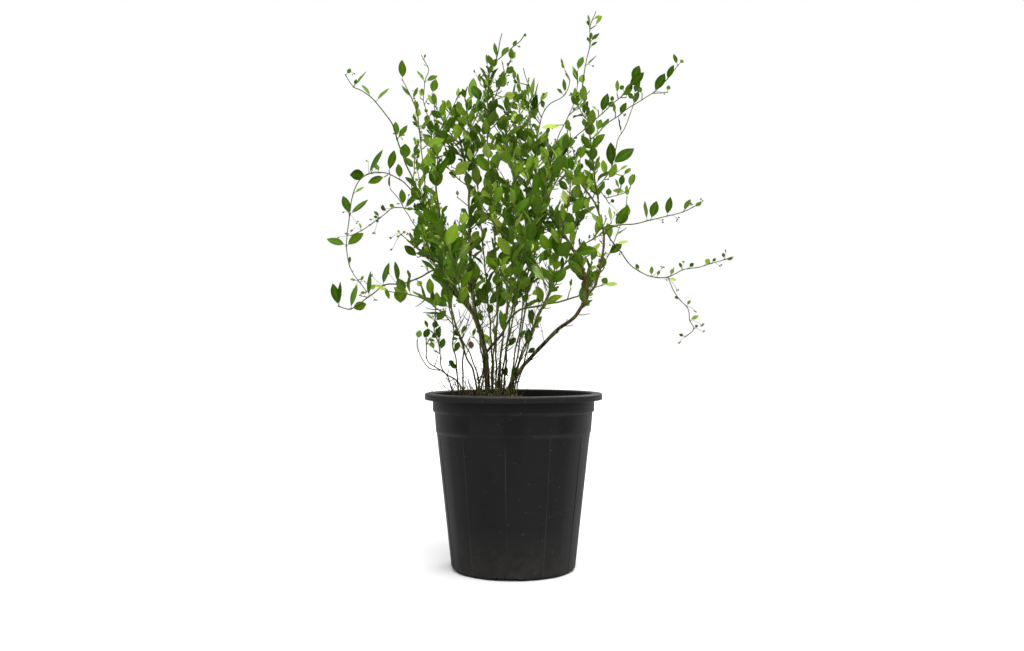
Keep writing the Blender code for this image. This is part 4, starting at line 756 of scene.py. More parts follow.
def across_directions(along):
    """Two directions square to this one and to each other, the first of them level."""
    level = along.cross(UP)
    if level.length < 0.05:
        level = Vector((1, 0, 0))
    level.normalize()
    return level, level.cross(along).normalized()


def side_of(along, turn):
    """The direction square to this one, at this turn round it."""
    level, other = across_directions(along)
    return math.cos(turn) * level + math.sin(turn) * other


def ring_faces(rings, sides, first=0):
    """The side faces of a tube whose points are listed ring by ring."""
    faces = []
    for ring in range(rings - 1):
        low = first + ring * sides
        for side in range(sides):
            after = (side + 1) % sides
            faces.append((low + side, low + after, low + sides + after, low + sides + side))
    return faces


def tube_shell(line, radii, sides=6):
    """Points and faces of an open tube round a line, for finding what crosses it."""
    points = []
    for place, (here, radius) in enumerate(zip(line, radii)):
        along = line[min(place + 1, len(line) - 1)] - line[max(place - 1, 0)]
        first, second = across_directions(along.normalized())
        for side in range(sides):
            turn = math.tau * side / sides
            points.append(here + radius * (math.cos(turn) * first + math.sin(turn) * second))
    return points, ring_faces(len(line), sides)


def blade_corners(leaf, margin=0.0):
    """The six corners of a leaf's outline, from the root round by the tip."""
    across = leaf.facing.cross(leaf.along)
    corners = []
    for share, side in LEAF_CORNERS:
        half = side * (leaf.width / 2 + margin)
        run = share * (leaf.length + 2 * margin) - margin
        corners.append(leaf.root + leaf.along * run + across * half)
    return corners


def blade_shell(leaf, margin):
    """Points and faces of a leaf made thicker and wider all round, for finding what crosses it."""
    corners = blade_corners(leaf, margin)
    offset = leaf.facing * (LEAF_THICKNESS / 2 + margin)
    points = [corner + offset for corner in corners] + [corner - offset for corner in corners]
    count = len(corners)
    faces = [tuple(range(count)), tuple(range(count, 2 * count))]
    for corner in range(count):
        after = (corner + 1) % count
        faces.append((corner, after, count + after, count + corner))
    return points, faces


def middle_and_reach(points):
    """The middle of the points, and how far the furthest of them is."""
    middle = sum(points, Vector()) / len(points)
    return middle, max((point - middle).length for point in points)


def traced_branches():
    """The branches of the traced stems. Each that stands in the soil has its own node."""
    found = {}
    for stem in STEMS:
        route = [placed(point) for point in stem.route]
        parent = found.get(stem.parent)
        if not parent:
            route.insert(0, Vector((route[0].x, route[0].y, STEM_FOOT)))
        found[stem.name] = Branch(
            name=stem.name,
            node=parent.node if parent else f"stem_{stem.name}",
            parent=parent,
            line=straightened(smooth(route)),
            curve=wavered(smooth(route)),
            root=stem.root * MM,
            tip=stem.tip * MM,
            bare=stem.bare,
            leaf=stem.leaf,
            upturn=stem.upturn,
            shoots=stem.shoots,
        )
    return list(found.values())


def side_branch(name, parent, line, curve, root, tip, leaf=1):
    """A branch that grows from another: leafy from its foot up, with no shoots of its own."""
    return Branch(name, parent.node, parent, line, wavered(curve), root, tip, 0, leaf, UPTURN, 0)


def shoot_on(parent, number, occupied, spread=SHOOT_SPREAD):
    """A side shoot on the leafy part of a stem, or None where there is no room for it."""
    draw = random.Random(f"{parent.name} shoot {number}")
    for _ in range(TRIES):
        start, along = parent.at(parent.length() * draw.uniform(*spread))
        side = side_of(along, draw.uniform(0, math.tau))
        way = math.cos(SHOOT_ANGLE) * along + math.sin(SHOOT_ANGLE) * side
        length = draw.uniform(*SHOOT_LENGTH)
        if start.z < parent.bare or in_gap(start, way, length):
            continue
        curve = smooth(arched(start, way * length, UP * length * SHOOT_RISE, SHOOT_SHARES))
        line = straightened(curve)
        if not occupied.meets_tube(line, SHOOT_RADIUS + CLEARANCE, parent):
            name = f"{parent.name}_shoot_{number}"
            return side_branch(name, parent, line, curve, SHOOT_RADIUS, SHOOT_TIP, parent.leaf * SHOOT_LEAF)
    return None


def seen(point):
    """A point's place in the front view, across and down."""
    unit = VIEW_UNIT * (1 + point.y / EYE_DISTANCE)
    return Vector((AXIS_ACROSS + point.x / unit, HORIZON_DOWN - (point.z - EYE_HEIGHT) / unit))


def in_gap(root, along, length, gaps=GAPS):
    """Whether what grows from the root in this direction would be seen in one of the crown's gaps."""
    places = [seen(root + along * length * share) for share in GAP_SHARES]
    return any((place - Vector(gap[:2])).length < gap[2] for gap in gaps for place in places)


def off_crown(root, along, length):
    """Whether what grows here is seen in a gap, or on the outer arms, which bear traced leaves alone."""
    on_arm = not CROWN_ACROSS[0] < seen(root).x < CROWN_ACROSS[1]
    return on_arm or in_gap(root, along, length, GAPS + SMALL_GAPS)


def nearest_place(branches, foot):
    """How near in the front view a branch passes to this place, which branch, and how far along it."""
    found = []
    for branch in branches:
        passed = 0.0
        for start, end in zip(branch.line, branch.line[1:]):
            low = seen(start)
            high = seen(end)
            share = min(1, max(0, intersect_point_line(foot, low, high)[1]))
            away = (low.lerp(high, share) - foot).length
            found.append((away, branch, passed + share * (end - start).length))
            passed += (end - start).length
    return min(found, key=lambda item: item[0])


def twig_to(foot, parent, distance, name, occupied):
    """A twig from the nearest branch up to this place in the front view, or None where none fits."""
    near = parent.at(distance)[0]
    for behind in TWIG_DEPTHS:
        end = placed((*foot, near.y / MM + behind))
        start = parent.at(max(0, distance - TWIG_RISE * (end - near).length))[0]
        line = [start, end]
        if not occupied.meets_tube(line, SHOOT_RADIUS + CLEARANCE, parent):
            return side_branch(name, parent, line, smooth(line), SHOOT_RADIUS, SHOOT_TIP)
    return None


def traced_leaf(branch, distance, traced, leaves, occupied):
    """The leaf traced at this place, or None where it grows through something other than its own pair."""
    tip_across, tip_down, width, *tone = traced[2:]
    distance = min(distance, branch.length() - TIP_INSET)
    root = branch.at(distance)[0]
    reach = placed((tip_across, tip_down, root.y / MM)) - root
    seen_width = width * VIEW_UNIT * (1 + root.y / EYE_DISTANCE)
    width = max(LEAF_SHAPE * reach.length, seen_width)
    turn = math.acos(seen_width / width)
    to_eye = Vector((0, -EYE_DISTANCE, EYE_HEIGHT)) - root
    flat = reach.normalized()
    to_front = (to_eye - flat * to_eye.dot(flat)).normalized()
    pair = {leaf for leaf in leaves if leaf.branch is branch and abs(leaf.distance - distance) < PAIR_REACH}
    for attempt in range(TRIES):
        lean = TRACED_LEAN * ((attempt + 1) // 2) * (-1) ** attempt
        along = math.cos(lean) * flat + math.sin(lean) * to_front
        facing = math.cos(lean) * to_front - math.sin(lean) * flat
        turned = [Matrix.Rotation(way * turn, 3, along) @ facing for way in (-1, 1)]
        facing = max(turned, key=lambda way: way.z)
        leaf = Leaf(branch, root, along, facing, reach.length / math.cos(lean), width, distance, None, tone)
        shell = blade_shell(leaf, CLEARANCE)
        middle, radius = middle_and_reach(shell[0])
        if not occupied.meets(shell, middle, radius, {branch, *pair}):
            occupied.add(leaf, blade_shell(leaf, 0), middle, radius)
            return leaf
    return None


def leaf_at(branch, distance, turn, angle, draw):
    """A leaf that leaves the branch at this distance, on the side that `turn` gives."""
    root, along = branch.at(distance)
    side = side_of(along, turn)
    way = math.cos(angle) * along + math.sin(angle) * side
    upturn = branch.upturn * draw.uniform(*UPTURN_SPREAD)
    way = (way * (1 - min(upturn, MOST_UPTURN)) + UP * upturn).normalized()
    facing = math.sin(angle) * along - math.cos(angle) * side
    facing = (facing - way * facing.dot(way)).normalized()
    facing.rotate(Matrix.Rotation(draw.uniform(-LEAF_ROLL, LEAF_ROLL), 3, way))
    last_quarter = max(0, 4 * distance / branch.length() - 3)
    shrink = 1 - TIP_LEAF_SHRINK * last_quarter
    length = LEAF_LENGTH * branch.leaf * draw.uniform(*LEAF_LENGTH_SPREAD) * shrink
    width = length * LEAF_SHAPE * draw.uniform(*LEAF_WIDTH_SPREAD)
    return Leaf(branch, root, way, facing, length, width, distance, turn)


def fitted_leaf(branch, number, distance, turn, angle, occupied):
    """The leaf at this place, turned until it grows through nothing, or None where nothing fits."""
    draw = random.Random(f"{branch.name} leaf {number}")
    for attempt in range(TRIES):
        swing = FIRST_SWING + NEXT_SWING * attempt
        leaf = leaf_at(branch, distance, turn + draw.uniform(-swing, swing), angle, draw)
        shell = blade_shell(leaf, CLEARANCE)
        middle, reach = middle_and_reach(shell[0])
        in_open = in_gap(leaf.root, leaf.along, leaf.length)
        if not in_open and not occupied.meets(shell, middle, reach, {branch}):
            occupied.add(leaf, blade_shell(leaf, 0), middle, reach)
            return leaf
    return None


def leaves_on(branch, traced, occupied):
    """Leaves at even distances up a branch, apart from its traced ones, each a quarter turn from the last."""
    start_turn = random.Random(f"{branch.name} turn").uniform(0, math.tau)
    length = branch.length()
    count = int((length - FIRST_LEAF) / LEAF_SPACING)
    found = []
    for number in range(count + 1):
        distance = length - TIP_INSET - number * LEAF_SPACING
        if distance < FIRST_LEAF or branch.at(distance)[0].z < branch.bare:
            continue
        if near_traced(branch, distance, traced):
            continue
        turn = start_turn + number * math.pi / 2
        angle = LEAF_ANGLE if number else TIP_LEAF_ANGLE
        found.append(fitted_leaf(branch, number, distance, turn, angle, occupied))
    return [leaf for leaf in found if leaf]


def near_traced(branch, distance, traced):
    """Whether one of the traced leaves grows near this place on the branch."""
    return any(leaf.branch is branch and abs(leaf.distance - distance) < TRACED_REACH for leaf in traced)


def whole_plant():
    """The solids' branches and leaves and the small traced leaves, none growing through another."""
    branches = traced_branches()
    occupied = Occupied()
    for branch in branches:
        occupied.add_branch(branch, branch.line, branch.radii())
    for branch in list(branches):
        for number in range(branch.shoots):
            keep(shoot_on(branch, number, occupied), branches, occupied)
    leaves = []
    add_traced(TRACED_LEAVES, "twig", branches, leaves, occupied)
    for branch in branches:
        leaves += leaves_on(branch, leaves, occupied)
    add_traced(SMALL_TRACED_LEAVES, "small_twig", branches, leaves, occupied, retry=True)
    return branches, leaves


def keep(branch, branches, occupied):
    """Adds a branch to the plant, or nothing for None."""
    if branch:
        occupied.add_branch(branch, branch.line, branch.radii())
        branches.append(branch)


def add_traced(rows, name, branches, leaves, occupied, retry=False):
    """Adds the leaves of a traced table, each on the nearest branch, or on its own twig where that is far.

    With `retry`, a leaf that finds no room on the nearest branch gets a twig too.
    """
    for number, traced in enumerate(rows):
        foot = Vector(traced[:2])
        away, branch, distance = nearest_place(branches, foot)
        near = away <= FOOT_REACH
        leaf = traced_leaf(branch, distance, traced, leaves, occupied) if near else None
        if not leaf and (retry or not near):
            twig = twig_to(foot, branch, distance, f"{name}_{number}", occupied)
            keep(twig, branches, occupied)
            leaf = traced_leaf(twig, twig.length(), traced, leaves, occupied) if twig else None
        leaves += [leaf] if leaf else []


@dataclass(eq=False)
class ShownLeaf:
    """A leaf as shown: its foot on the stem's curve, the start and points of its blade, and its colour."""

    leaf: Leaf
    foot: Vector
    start: Vector
    points: np.ndarray
    tone: float


def blade_template():
    """A blade's faces, their marks, its points' (share, side) places, and which points are lower ones.

    It is two grids, one over the other, that share their rim. A mark is 1 on the lower one.
    """
    rows = len(BLADE_OUTLINE)
    wide = BLADE_COLUMNS + 1
    shares = (np.arange(rows) + 1) / (rows + 1)
    sides = np.linspace(-1, 1, wide)
    upper = [(share, side) for share in shares for side in sides]
    lower = [(share, side) for share in shares for side in sides[1:-1]]
    places = np.array(upper + lower + [(0, 0), (1, 0)])
    foot = len(places) - 2
    tip = foot + 1

    def upper_corner(row, column):
        return row * wide + column

    def lower_corner(row, column):
        if column in (0, wide - 1):
            return row * wide + column
        return len(upper) + row * (wide - 2) + column - 1

    faces = []
    marks = []
    for mark, corner in ((0.0, upper_corner), (1.0, lower_corner)):
        for column in range(BLADE_COLUMNS):
            after = column + 1
            strip = [(foot, corner(0, column), corner(0, after))]
            for row in range(rows - 1):
                ends = corner(row + 1, column), corner(row + 1, after)
                strip.append((corner(row, column), *ends, corner(row, after)))
            strip.append((corner(rows - 1, column), tip, corner(rows - 1, after)))
            faces += strip if mark else [face[::-1] for face in strip]
            marks += [mark] * len(strip)
    is_lower = np.zeros(len(places), bool)
    is_lower[len(upper):foot] = True
    return faces, marks, places, is_lower


BLADE_FACES, BLADE_MARKS, BLADE_PLACES, BLADE_LOWER = blade_template()


def blade_points(leaf, foot, start, ease):
    """The points of a blade: arched, folded along its midrib and waved, all of it less as `ease` falls."""
    draw = random.Random(f"{leaf.branch.name} {leaf.distance:.4f} {leaf.turn}")
    bend = ease * draw.uniform(*BLADE_BEND) or LEAST_BEND
    turn = ease * draw.uniform(-BLADE_TWIST, BLADE_TWIST)
    fold = math.tan(math.radians(LEAST_FOLD + ease * draw.uniform(0, MORE_FOLD)))
    waves = draw.uniform(*BLADE_WAVES)
    wave = ease * draw.uniform(*WAVE_HEIGHT)
    phase = draw.random()
    skew = draw.uniform(*BLADE_SKEW)

    share = BLADE_PLACES[:, 0]
    side = BLADE_PLACES[:, 1]
    outline = np.interp(share**skew, np.linspace(0, 1, len(BLADE_OUTLINE) + 2), (0, *BLADE_OUTLINE, 0))
    reach = side * leaf.width / 2 * outline
    midrib = np.exp(-((reach / MIDRIB_WIDTH) ** 2))
    lift = (np.sqrt(reach**2 + FOLD_ROUNDING**2) - FOLD_ROUNDING) * fold
    lift += wave * side**2 * np.sin(math.tau * (share * waves + phase))
    lift -= RIM_DROP * leaf.width * outline * side**4
    lift -= MIDRIB_DEPTH * midrib * outline
    thick = BLADE_THICKNESS * (1 - side**2) * (1 + 1.2 * midrib * (1 - share))
    lift -= np.where(BLADE_LOWER, thick, 0)
    lift[-2:] = 0

    length = leaf.length - (start - foot).length
    sweep = bend * share
    twisted_reach = reach * np.cos(turn * share) - lift * np.sin(turn * share)
    twisted_lift = reach * np.sin(turn * share) + lift * np.cos(turn * share)
    run = length * np.sin(sweep) / bend + twisted_lift * np.sin(sweep)
    rise = -length * (1 - np.cos(sweep)) / bend + twisted_lift * np.cos(sweep)
    across = leaf.facing.cross(leaf.along)
    directions = np.array([leaf.along, across, leaf.facing])
    return np.array(start) + np.stack([run, twisted_reach, rise], axis=1) @ directions


def nearest_on_curve(curve, point):
    """The point of a curve's straight steps that is nearest to this one."""
    found = []
    for start, end in zip(curve, curve[1:]):
        share = min(1, max(0, intersect_point_line(point, start, end)[1]))
        here = start.lerp(end, share)
        found.append(((here - point).length, here))
    return min(found, key=lambda item: item[0])[1]


def shown_leaf(leaf, occupied, must_show=False):
    """The leaf with its fine blade where that grows through nothing, or None."""
    foot = nearest_on_curve(leaf.branch.curve, leaf.root)
    start = foot + leaf.along * (PETIOLE_LENGTH + leaf.branch.root * PETIOLE_ROOT)
    for attempt in range(SETTLE_TRIES):
        ease = 1 - attempt / (SETTLE_TRIES - 1)
        if leaf.turn is None:
            ease *= TRACED_EASE
        points = blade_points(leaf, foot, start, ease)
        shell = points.tolist(), BLADE_FACES
        middle = Vector(points.mean(axis=0))
        reach = float(np.linalg.norm(points - np.array(middle), axis=1).max())
        fits = not occupied.meets(shell, middle, reach, {leaf.branch})
        if fits or (must_show and attempt == SETTLE_TRIES - 1):
            occupied.add(leaf, shell, middle, reach)
            return ShownLeaf(leaf, foot, start, points, leaf_tone(leaf))
    return None


def leaf_tone(leaf):
    """A leaf's place in the leaf colours: traced, or drawn, lighter towards the tips and on young leaves."""
    if leaf.tone:
        return leaf.tone[0]
    draw = random.Random(f"{leaf.branch.name} tone {leaf.distance:.4f} {leaf.turn}")
    share = leaf.distance / leaf.branch.length()
    young = YOUNG_TONE if draw.random() < YOUNG_SHARE else 0
    return min(1, max(0, LEAF_TONE + TIP_TONE * share**2 + young + draw.gauss(0, TONE_SPREAD)))


def more_leaves(branch, name, distance, turn, angle, occupied):
    """A pair of leaves, or the one of the two that fits."""
    found = []
    for side in (0, math.pi):
        found.append(one_more_leaf(branch, f"{name} {side:.0f}", distance, turn + side, angle, occupied))
    return [leaf for leaf in found if leaf]


def one_more_leaf(branch, name, distance, turn, angle, occupied, size=1.0):
    """A leaf at this place, turned until it grows through nothing, or None."""
    draw = random.Random(f"{branch.name} {name}")
    for attempt in range(TRIES):
        swing = MORE_FIRST_SWING + MORE_NEXT_SWING * attempt
        leaf = leaf_at(branch, distance, turn + draw.uniform(-swing, swing), angle, draw)
        leaf.length *= size
        leaf.width *= size
        if off_crown(leaf.root, leaf.along, leaf.length):
            continue
        found = shown_leaf(leaf, occupied)
        if found:
            return found
    return None


def grown_plant():
    """Every branch and leaf as shown: the planned ones, each pair's other leaf, and more between them."""
    noise.seed_set(WAVER_SEED)
    branches, planned = whole_plant()
    occupied = Occupied()
    for branch in branches:
        occupy(branch, occupied)
    shown = [shown_leaf(leaf, occupied, must_show=True) for leaf in planned]
    for branch in list(branches):
        shown += grow_new_shoots(branch, branches, occupied)
    paired = [leaf for leaf in planned if leaf.turn is not None]
    for leaf in paired:
        shown += other_of_pair(leaf, occupied)
    for leaf in paired:
        shown += leaves_below(leaf, planned, occupied)
    for branch in branches:
        shown += small_leaves_on(branch, planned, occupied)
    for branch in [branch for branch in branches if not branch.parent]:
        for number in range(FINE_TWIGS):
            twig = fine_twig(branch, number, occupied)
            if twig:
                occupy(twig, occupied)
                branches.append(twig)
    return branches, shown


def grow_new_shoots(branch, branches, occupied):
    """Adds a stem's new shoots to the branches, those high in the crown last, and gives their leaves."""
    spreads = [SHOOT_SPREAD] * new_shoots_on(branch) + [CROWN_SPREAD] * CROWN_SHOOTS.get(branch.name, 0)
    found = []
    for number, spread in enumerate(spreads, FIRST_NEW_SHOOT):
        shoot = shoot_on(branch, number, occupied, spread)
        if shoot and not any(off_crown(point, UP, 0) for point in shoot.curve):
            occupy(shoot, occupied)
            branches.append(shoot)
            found += leaves_on_new_shoot(shoot, occupied)
    return found


def other_of_pair(leaf, occupied):
    """The leaf across the branch from this one, where it fits."""
    branch = leaf.branch
    angle = LEAF_ANGLE if branch.length() - leaf.distance > 2 * TIP_INSET else TIP_LEAF_ANGLE
    name = f"other {leaf.distance:.4f}"
    other = one_more_leaf(branch, name, leaf.distance, leaf.turn + math.pi, angle, occupied)
    return [other] if other else []


def small_leaves_on(branch, planned, occupied):
    """Small young leaves wherever a branch of the crown has room for them."""
    draw = random.Random(f"{branch.name} small leaves")
    traced = [leaf for leaf in planned if leaf.turn is None]
    found = []
    distance = draw.uniform(*SMALL_LEAF_SPACING)
    while distance < branch.length():
        if branch.at(distance)[0].z > SMALL_LEAF_FROM and not near_traced(branch, distance, traced):
            turn = draw.uniform(0, math.tau)
            size = draw.uniform(*SMALL_LEAF_SIZE)
            leaf = one_more_leaf(branch, f"small {distance:.4f}", distance, turn, LEAF_ANGLE, occupied, size)
            found += [leaf] if leaf else []
        distance += draw.uniform(*SMALL_LEAF_SPACING)
    return found


def fine_twig(branch, number, occupied):
    """A thin leafless twig that crosses the open lower part of the plant, or None where there is no room."""
    draw = random.Random(f"{branch.name} fine twig {number}")
    for _ in range(TRIES):
        start, along = branch.at(branch.length() * draw.uniform(*FINE_TWIG_SPREAD))
        if not FINE_TWIG_SPAN[0] < start.z < FINE_TWIG_SPAN[1]:
            continue
        level, other = across_directions(along)
        turn = draw.uniform(0, math.tau)
        lean = along * draw.uniform(*FINE_TWIG_LEAN)
        way = (lean + math.cos(turn) * level + math.sin(turn) * other).normalized()
        length = draw.uniform(*FINE_TWIG_LENGTH)
        foot = nearest_on_curve(branch.curve, start)
        curve = smooth(arched(foot, way * length, UP * length * FINE_TWIG_RISE, SHOOT_SHARES))
        if not FINE_TWIG_ACROSS[0] < seen(curve[-1]).x < FINE_TWIG_ACROSS[1]:
            continue
        if not occupied.meets_tube(curve, FINE_TWIG_RADIUS, branch):
            name = f"{branch.name}_fine_twig_{number}"
            tip = FINE_TWIG_RADIUS * FINE_TWIG_TAPER
            return side_branch(name, branch, curve, curve, FINE_TWIG_RADIUS, tip)
    return None


def occupy(branch, occupied):
    """Marks the space round a branch's curve as taken."""
    count = len(branch.curve)
    radii = [branch.root + (branch.tip - branch.root) * step / (count - 1) for step in range(count)]
    occupied.add_branch(branch, branch.curve, radii)


def new_shoots_on(branch):
    """How many new shoots a stem gets for its leafy length. Side branches get none."""
    if branch.bare == 0:
        return 0
    steps = zip(branch.line, branch.line[1:])
    leafy = sum((end - start).length for start, end in steps if start.z > branch.bare)
    return round(leafy * NEW_SHOOTS_A_METRE)


def leaves_on_new_shoot(shoot, occupied):
    """Pairs of leaves down a new shoot from its tip, each pair square to the one before."""
    first_turn = random.Random(f"{shoot.name} turn").uniform(0, math.tau)
    length = shoot.length()
    found = []
    number = 0
    while length - TIP_INSET - number * NEW_SHOOT_SPACING > FIRST_LEAF:
        distance = length - TIP_INSET - number * NEW_SHOOT_SPACING
        angle = LEAF_ANGLE if number else TIP_LEAF_ANGLE
        turn = first_turn + number * math.pi / 2
        found += more_leaves(shoot, f"pair {number}", distance, turn, angle, occupied)
        number += 1
    return found


def leaves_below(leaf, planned, occupied):
    """The pairs that stand between this leaf and the next one down the branch, where they fit."""
    branch = leaf.branch
    traced = [other for other in planned if other.turn is None]
    found = []
    for place in BETWEEN_PLACES:
        name = f"between {leaf.distance:.4f} {place}"
        draw = random.Random(f"{branch.name} {name}")
        distance = leaf.distance - LEAF_SPACING * (place + draw.uniform(-BETWEEN_SWAY, BETWEEN_SWAY))
        if distance < FIRST_LEAF or branch.at(distance)[0].z < branch.bare:
            continue
        if not near_traced(branch, distance, traced):
            turn = leaf.turn + math.pi * place * 1.5
            found += more_leaves(branch, name, distance, turn, LEAF_ANGLE, occupied)
    return found


class Mesher:
    """Gathers many small shells into one mesh, with the values that the materials read."""

    def __init__(self):
        self.points = []
        self.faces = []
        self.materials = []
        self.marks = []
        self.tones = []
        self.places = []
        self.count = 0

    def add(self, points, faces, tone, material=0, marks=None, places=None):
        """One shell: `tone` is its colour draw, `marks` its lower faces, `places` its own (along, across)."""
        points = np.asarray(points, float)
        self.points.append(points)
        self.faces += [tuple(corner + self.count for corner in face) for face in faces]
        self.materials += [material] * len(faces)
        self.marks += marks or [0.0] * len(faces)
        self.tones.append(np.broadcast_to(tone, len(points)))
        self.places.append(np.zeros((len(points), 2)) if places is None else places)
        self.count += len(points)

    def build(self, name, *surfaces):
        """The mesh as an object."""
        mesh = bpy.data.meshes.new(name)
        mesh.from_pydata(np.concatenate(self.points).tolist(), [], self.faces)
        for surface in surfaces:
            mesh.materials.append(surface)
        mesh.polygons.foreach_set("material_index", self.materials)
        tone = mesh.attributes.new("tone", "FLOAT", "POINT")
        tone.data.foreach_set("value", np.concatenate(self.tones).astype(np.float32))
        under = mesh.attributes.new("under", "FLOAT", "FACE")
        under.data.foreach_set("value", np.array(self.marks, np.float32))
        corners = np.empty(len(mesh.loops), np.int32)
        mesh.loops.foreach_get("vertex_index", corners)
        places = np.concatenate(self.places)[corners].astype(np.float32)
        mesh.uv_layers.new(name="place").uv.foreach_set("vector", places.ravel())
        return shown_object(name, mesh)


def linked(name, data):
    """A new object in the scene."""
    made = bpy.data.objects.new(name, data)
    bpy.context.scene.collection.objects.link(made)
    return made


def shown_object(name, mesh, sharp_from=60):
    """An object of this mesh, smooth but for its sharp edges."""
    mesh.shade_smooth()
    mesh.set_sharp_from_angle(angle=math.radians(sharp_from))
    return linked(name, mesh)


def end_faces(foot, first, tip, last, sides):
    """The faces that close a tube: from its foot to the first ring, and from its tip to the last one."""
    faces = []
    for side in range(sides):
        after = (side + 1) % sides
        faces.append((foot, first + after, first + side))
        faces.append((tip, last + side, last + after))
    return faces


def tube_rings(line, radii, sides, relief=0.0, seed=0.0):
    """Rings of points round a line, each turned no more than the bend needs, with bark relief if asked."""
    line = np.asarray(line, float)
    along = np.gradient(line, axis=0)
    along /= np.linalg.norm(along, axis=1)[:, None]
    first = np.cross(along[0], (0.31, 0.87, 0.38))
    turns = np.arange(sides) * math.tau / sides
    rings = []
    for here, way, radius in zip(line, along, radii):
        first = first - way * first.dot(way)
        first /= np.linalg.norm(first)
        second = np.cross(way, first)
        reach = np.full(sides, float(radius))
        if relief:
            reach *= [1 + relief * bark_height(turn, here[2], seed) for turn in turns]
        sides_out = np.cos(turns)[:, None] * first + np.sin(turns)[:, None] * second
        rings.append(here + reach[:, None] * sides_out)
    return np.concatenate(rings)


def bark_height(turn, height, seed):
    """The bark's relief, drawn out along the stem."""
    spot = Vector((seed + 1.6 * math.cos(turn), 1.6 * math.sin(turn), height * 55))
    return noise.noise(spot) + 0.6 * noise.noise(spot * 2.7)


def add_tube(mesher, line, radii, sides, tone, material=0, relief=0.0, seed=0.0):
    """A closed tube with a rounded far end. `tone` is one value or one for each point of the line."""
    line = np.asarray(line, float)
    points = tube_rings(line, radii, sides, relief, seed)
    count = len(line)
    foot = count * sides
    faces = ring_faces(count, sides) + end_faces(foot, 0, foot + 1, foot - sides, sides)
    end = line[-1] - line[-2]
    tip_point = line[-1] + end / np.linalg.norm(end) * radii[-1]
    points = np.concatenate([points, [line[0], tip_point]])
    tones = np.broadcast_to(tone, count)
    tones = np.concatenate([np.repeat(tones, sides), tones[[0, -1]]])
    mesher.add(points, faces, tones, material)


def even_line(points, spacing):
    """The same line with its points at even distances, and those distances."""
    points = np.array([tuple(point) for point in points])
    reach = np.concatenate([[0], np.cumsum(np.linalg.norm(np.diff(points, axis=0), axis=1))])
    wanted = np.linspace(0, reach[-1], max(3, round(reach[-1] / spacing)))
    return np.stack([np.interp(wanted, reach, column) for column in points.T], axis=1), wanted


def add_stem(mesher, branch, feet):
    """A stem, a little swollen where leaves leave it. Its tone goes from green, thin and high, to bark."""
    line, reach = even_line(branch.curve, RING_SPACING)
    radii = branch.root + (branch.tip - branch.root) * reach / reach[-1]
    for foot in feet:
        away = np.linalg.norm(line - np.array(foot), axis=1)
        radii = radii * (1 + NODE_SWELL * np.exp(-((away / NODE_LENGTH) ** 2)))
    thick = branch.root > THICK_STEM
    if not thick:
        radii = radii * SLIMMING
    low = np.clip((WOOD_TOP - line[:, 2]) / WOOD_FADE, 0, 1)
    stout = np.clip((radii - GREEN_RADIUS) / GREEN_FADE, 0, 1)
    woody = np.clip(WOODY_LOW * low + stout, 0, 1)
    seed = random.Random(branch.name).uniform(0, 50)
    sides, relief = (THICK_SIDES, BARK_RELIEF) if thick else (THIN_SIDES, BARK_RELIEF / 2)
    add_tube(mesher, line, radii, sides, woody, 0, relief, seed)


def add_stubs(mesher, branch):
    """Short bare twigs and stubs up the lower part of a stem, as left where old shoots dried off."""
    draw = random.Random(f"{branch.name} stubs")
    least, most = STUB_LENGTH
    distance = draw.uniform(*STUB_SPACING)
    while distance < branch.length():
        start, along = branch.at(distance)
        if WAVER_FROM < start.z < STUB_TOP:
            side = side_of(along, draw.uniform(0, math.tau))
            way = (along * draw.uniform(*STUB_LEAN) + side).normalized()
            length = least + (most - least) * draw.random() ** 2 + branch.root
            foot = nearest_on_curve(branch.curve, start)
            line = arched(foot, way * length, UP * length * STUB_RISE, (0, 0.33, 0.67, 1))
            add_tube(mesher, line, [STUB_RADIUS * size for size in STUB_TAPER], THIN_SIDES - 2, STUB_TONE)
        distance += draw.uniform(*STUB_SPACING)


def add_leaf(mesher, shown):
    """A blade on its short stalk, which runs on a little under the blade."""
    places = np.stack([BLADE_PLACES[:, 0], BLADE_PLACES[:, 1] / 2 + 0.5], axis=1)
    mesher.add(shown.points, BLADE_FACES, shown.tone, BLADE_MATERIAL, BLADE_MARKS, places)
    reach = shown.start - shown.foot
    line = [shown.foot + reach * share for share in (0, 0.5, 1, 1.7)]
    line[1] = line[1] - shown.leaf.facing * (0.3 * MM)
    line[3] = line[3] - shown.leaf.facing * (0.35 * MM)
    radii = [PETIOLE_RADIUS * size for size in PETIOLE_TAPER]
    add_tube(mesher, line, radii, PETIOLE_SIDES, shown.tone, STALK_MATERIAL)


def unit_bud(rings=6, sides=8):
    """Points and faces of a small ball with its poles along Z, narrowed towards its upper end."""
    points = [(0, 0, -1)]
    for ring in range(1, rings):
        tilt = math.pi * ring / rings
        for side in range(sides):
            turn = math.tau * side / sides
            wide = math.sin(tilt) * (1 + 0.25 * math.cos(tilt))
            points.append((wide * math.cos(turn), wide * math.sin(turn), -math.cos(tilt)))
    points.append((0, 0, 1))
    top = len(points) - 1
    return np.array(points), ring_faces(rings - 1, sides, 1) + end_faces(0, 1, top, top - sides, sides)


BUD_POINTS, BUD_FACES = unit_bud()


def add_bud(mesher, foot, way, size, tone):
    """A small bud that starts at `foot` and points along `way`."""
    turn = np.array(way.to_track_quat("Z", "Y").to_matrix())
    shape = BUD_POINTS * (BUD_RADIUS * size, BUD_RADIUS * size, BUD_LENGTH / 2 * size)
    middle = np.array(foot + way * BUD_LENGTH / 2 * size)
    mesher.add(shape @ turn.T + middle, BUD_FACES, tone, BUD_MATERIAL)


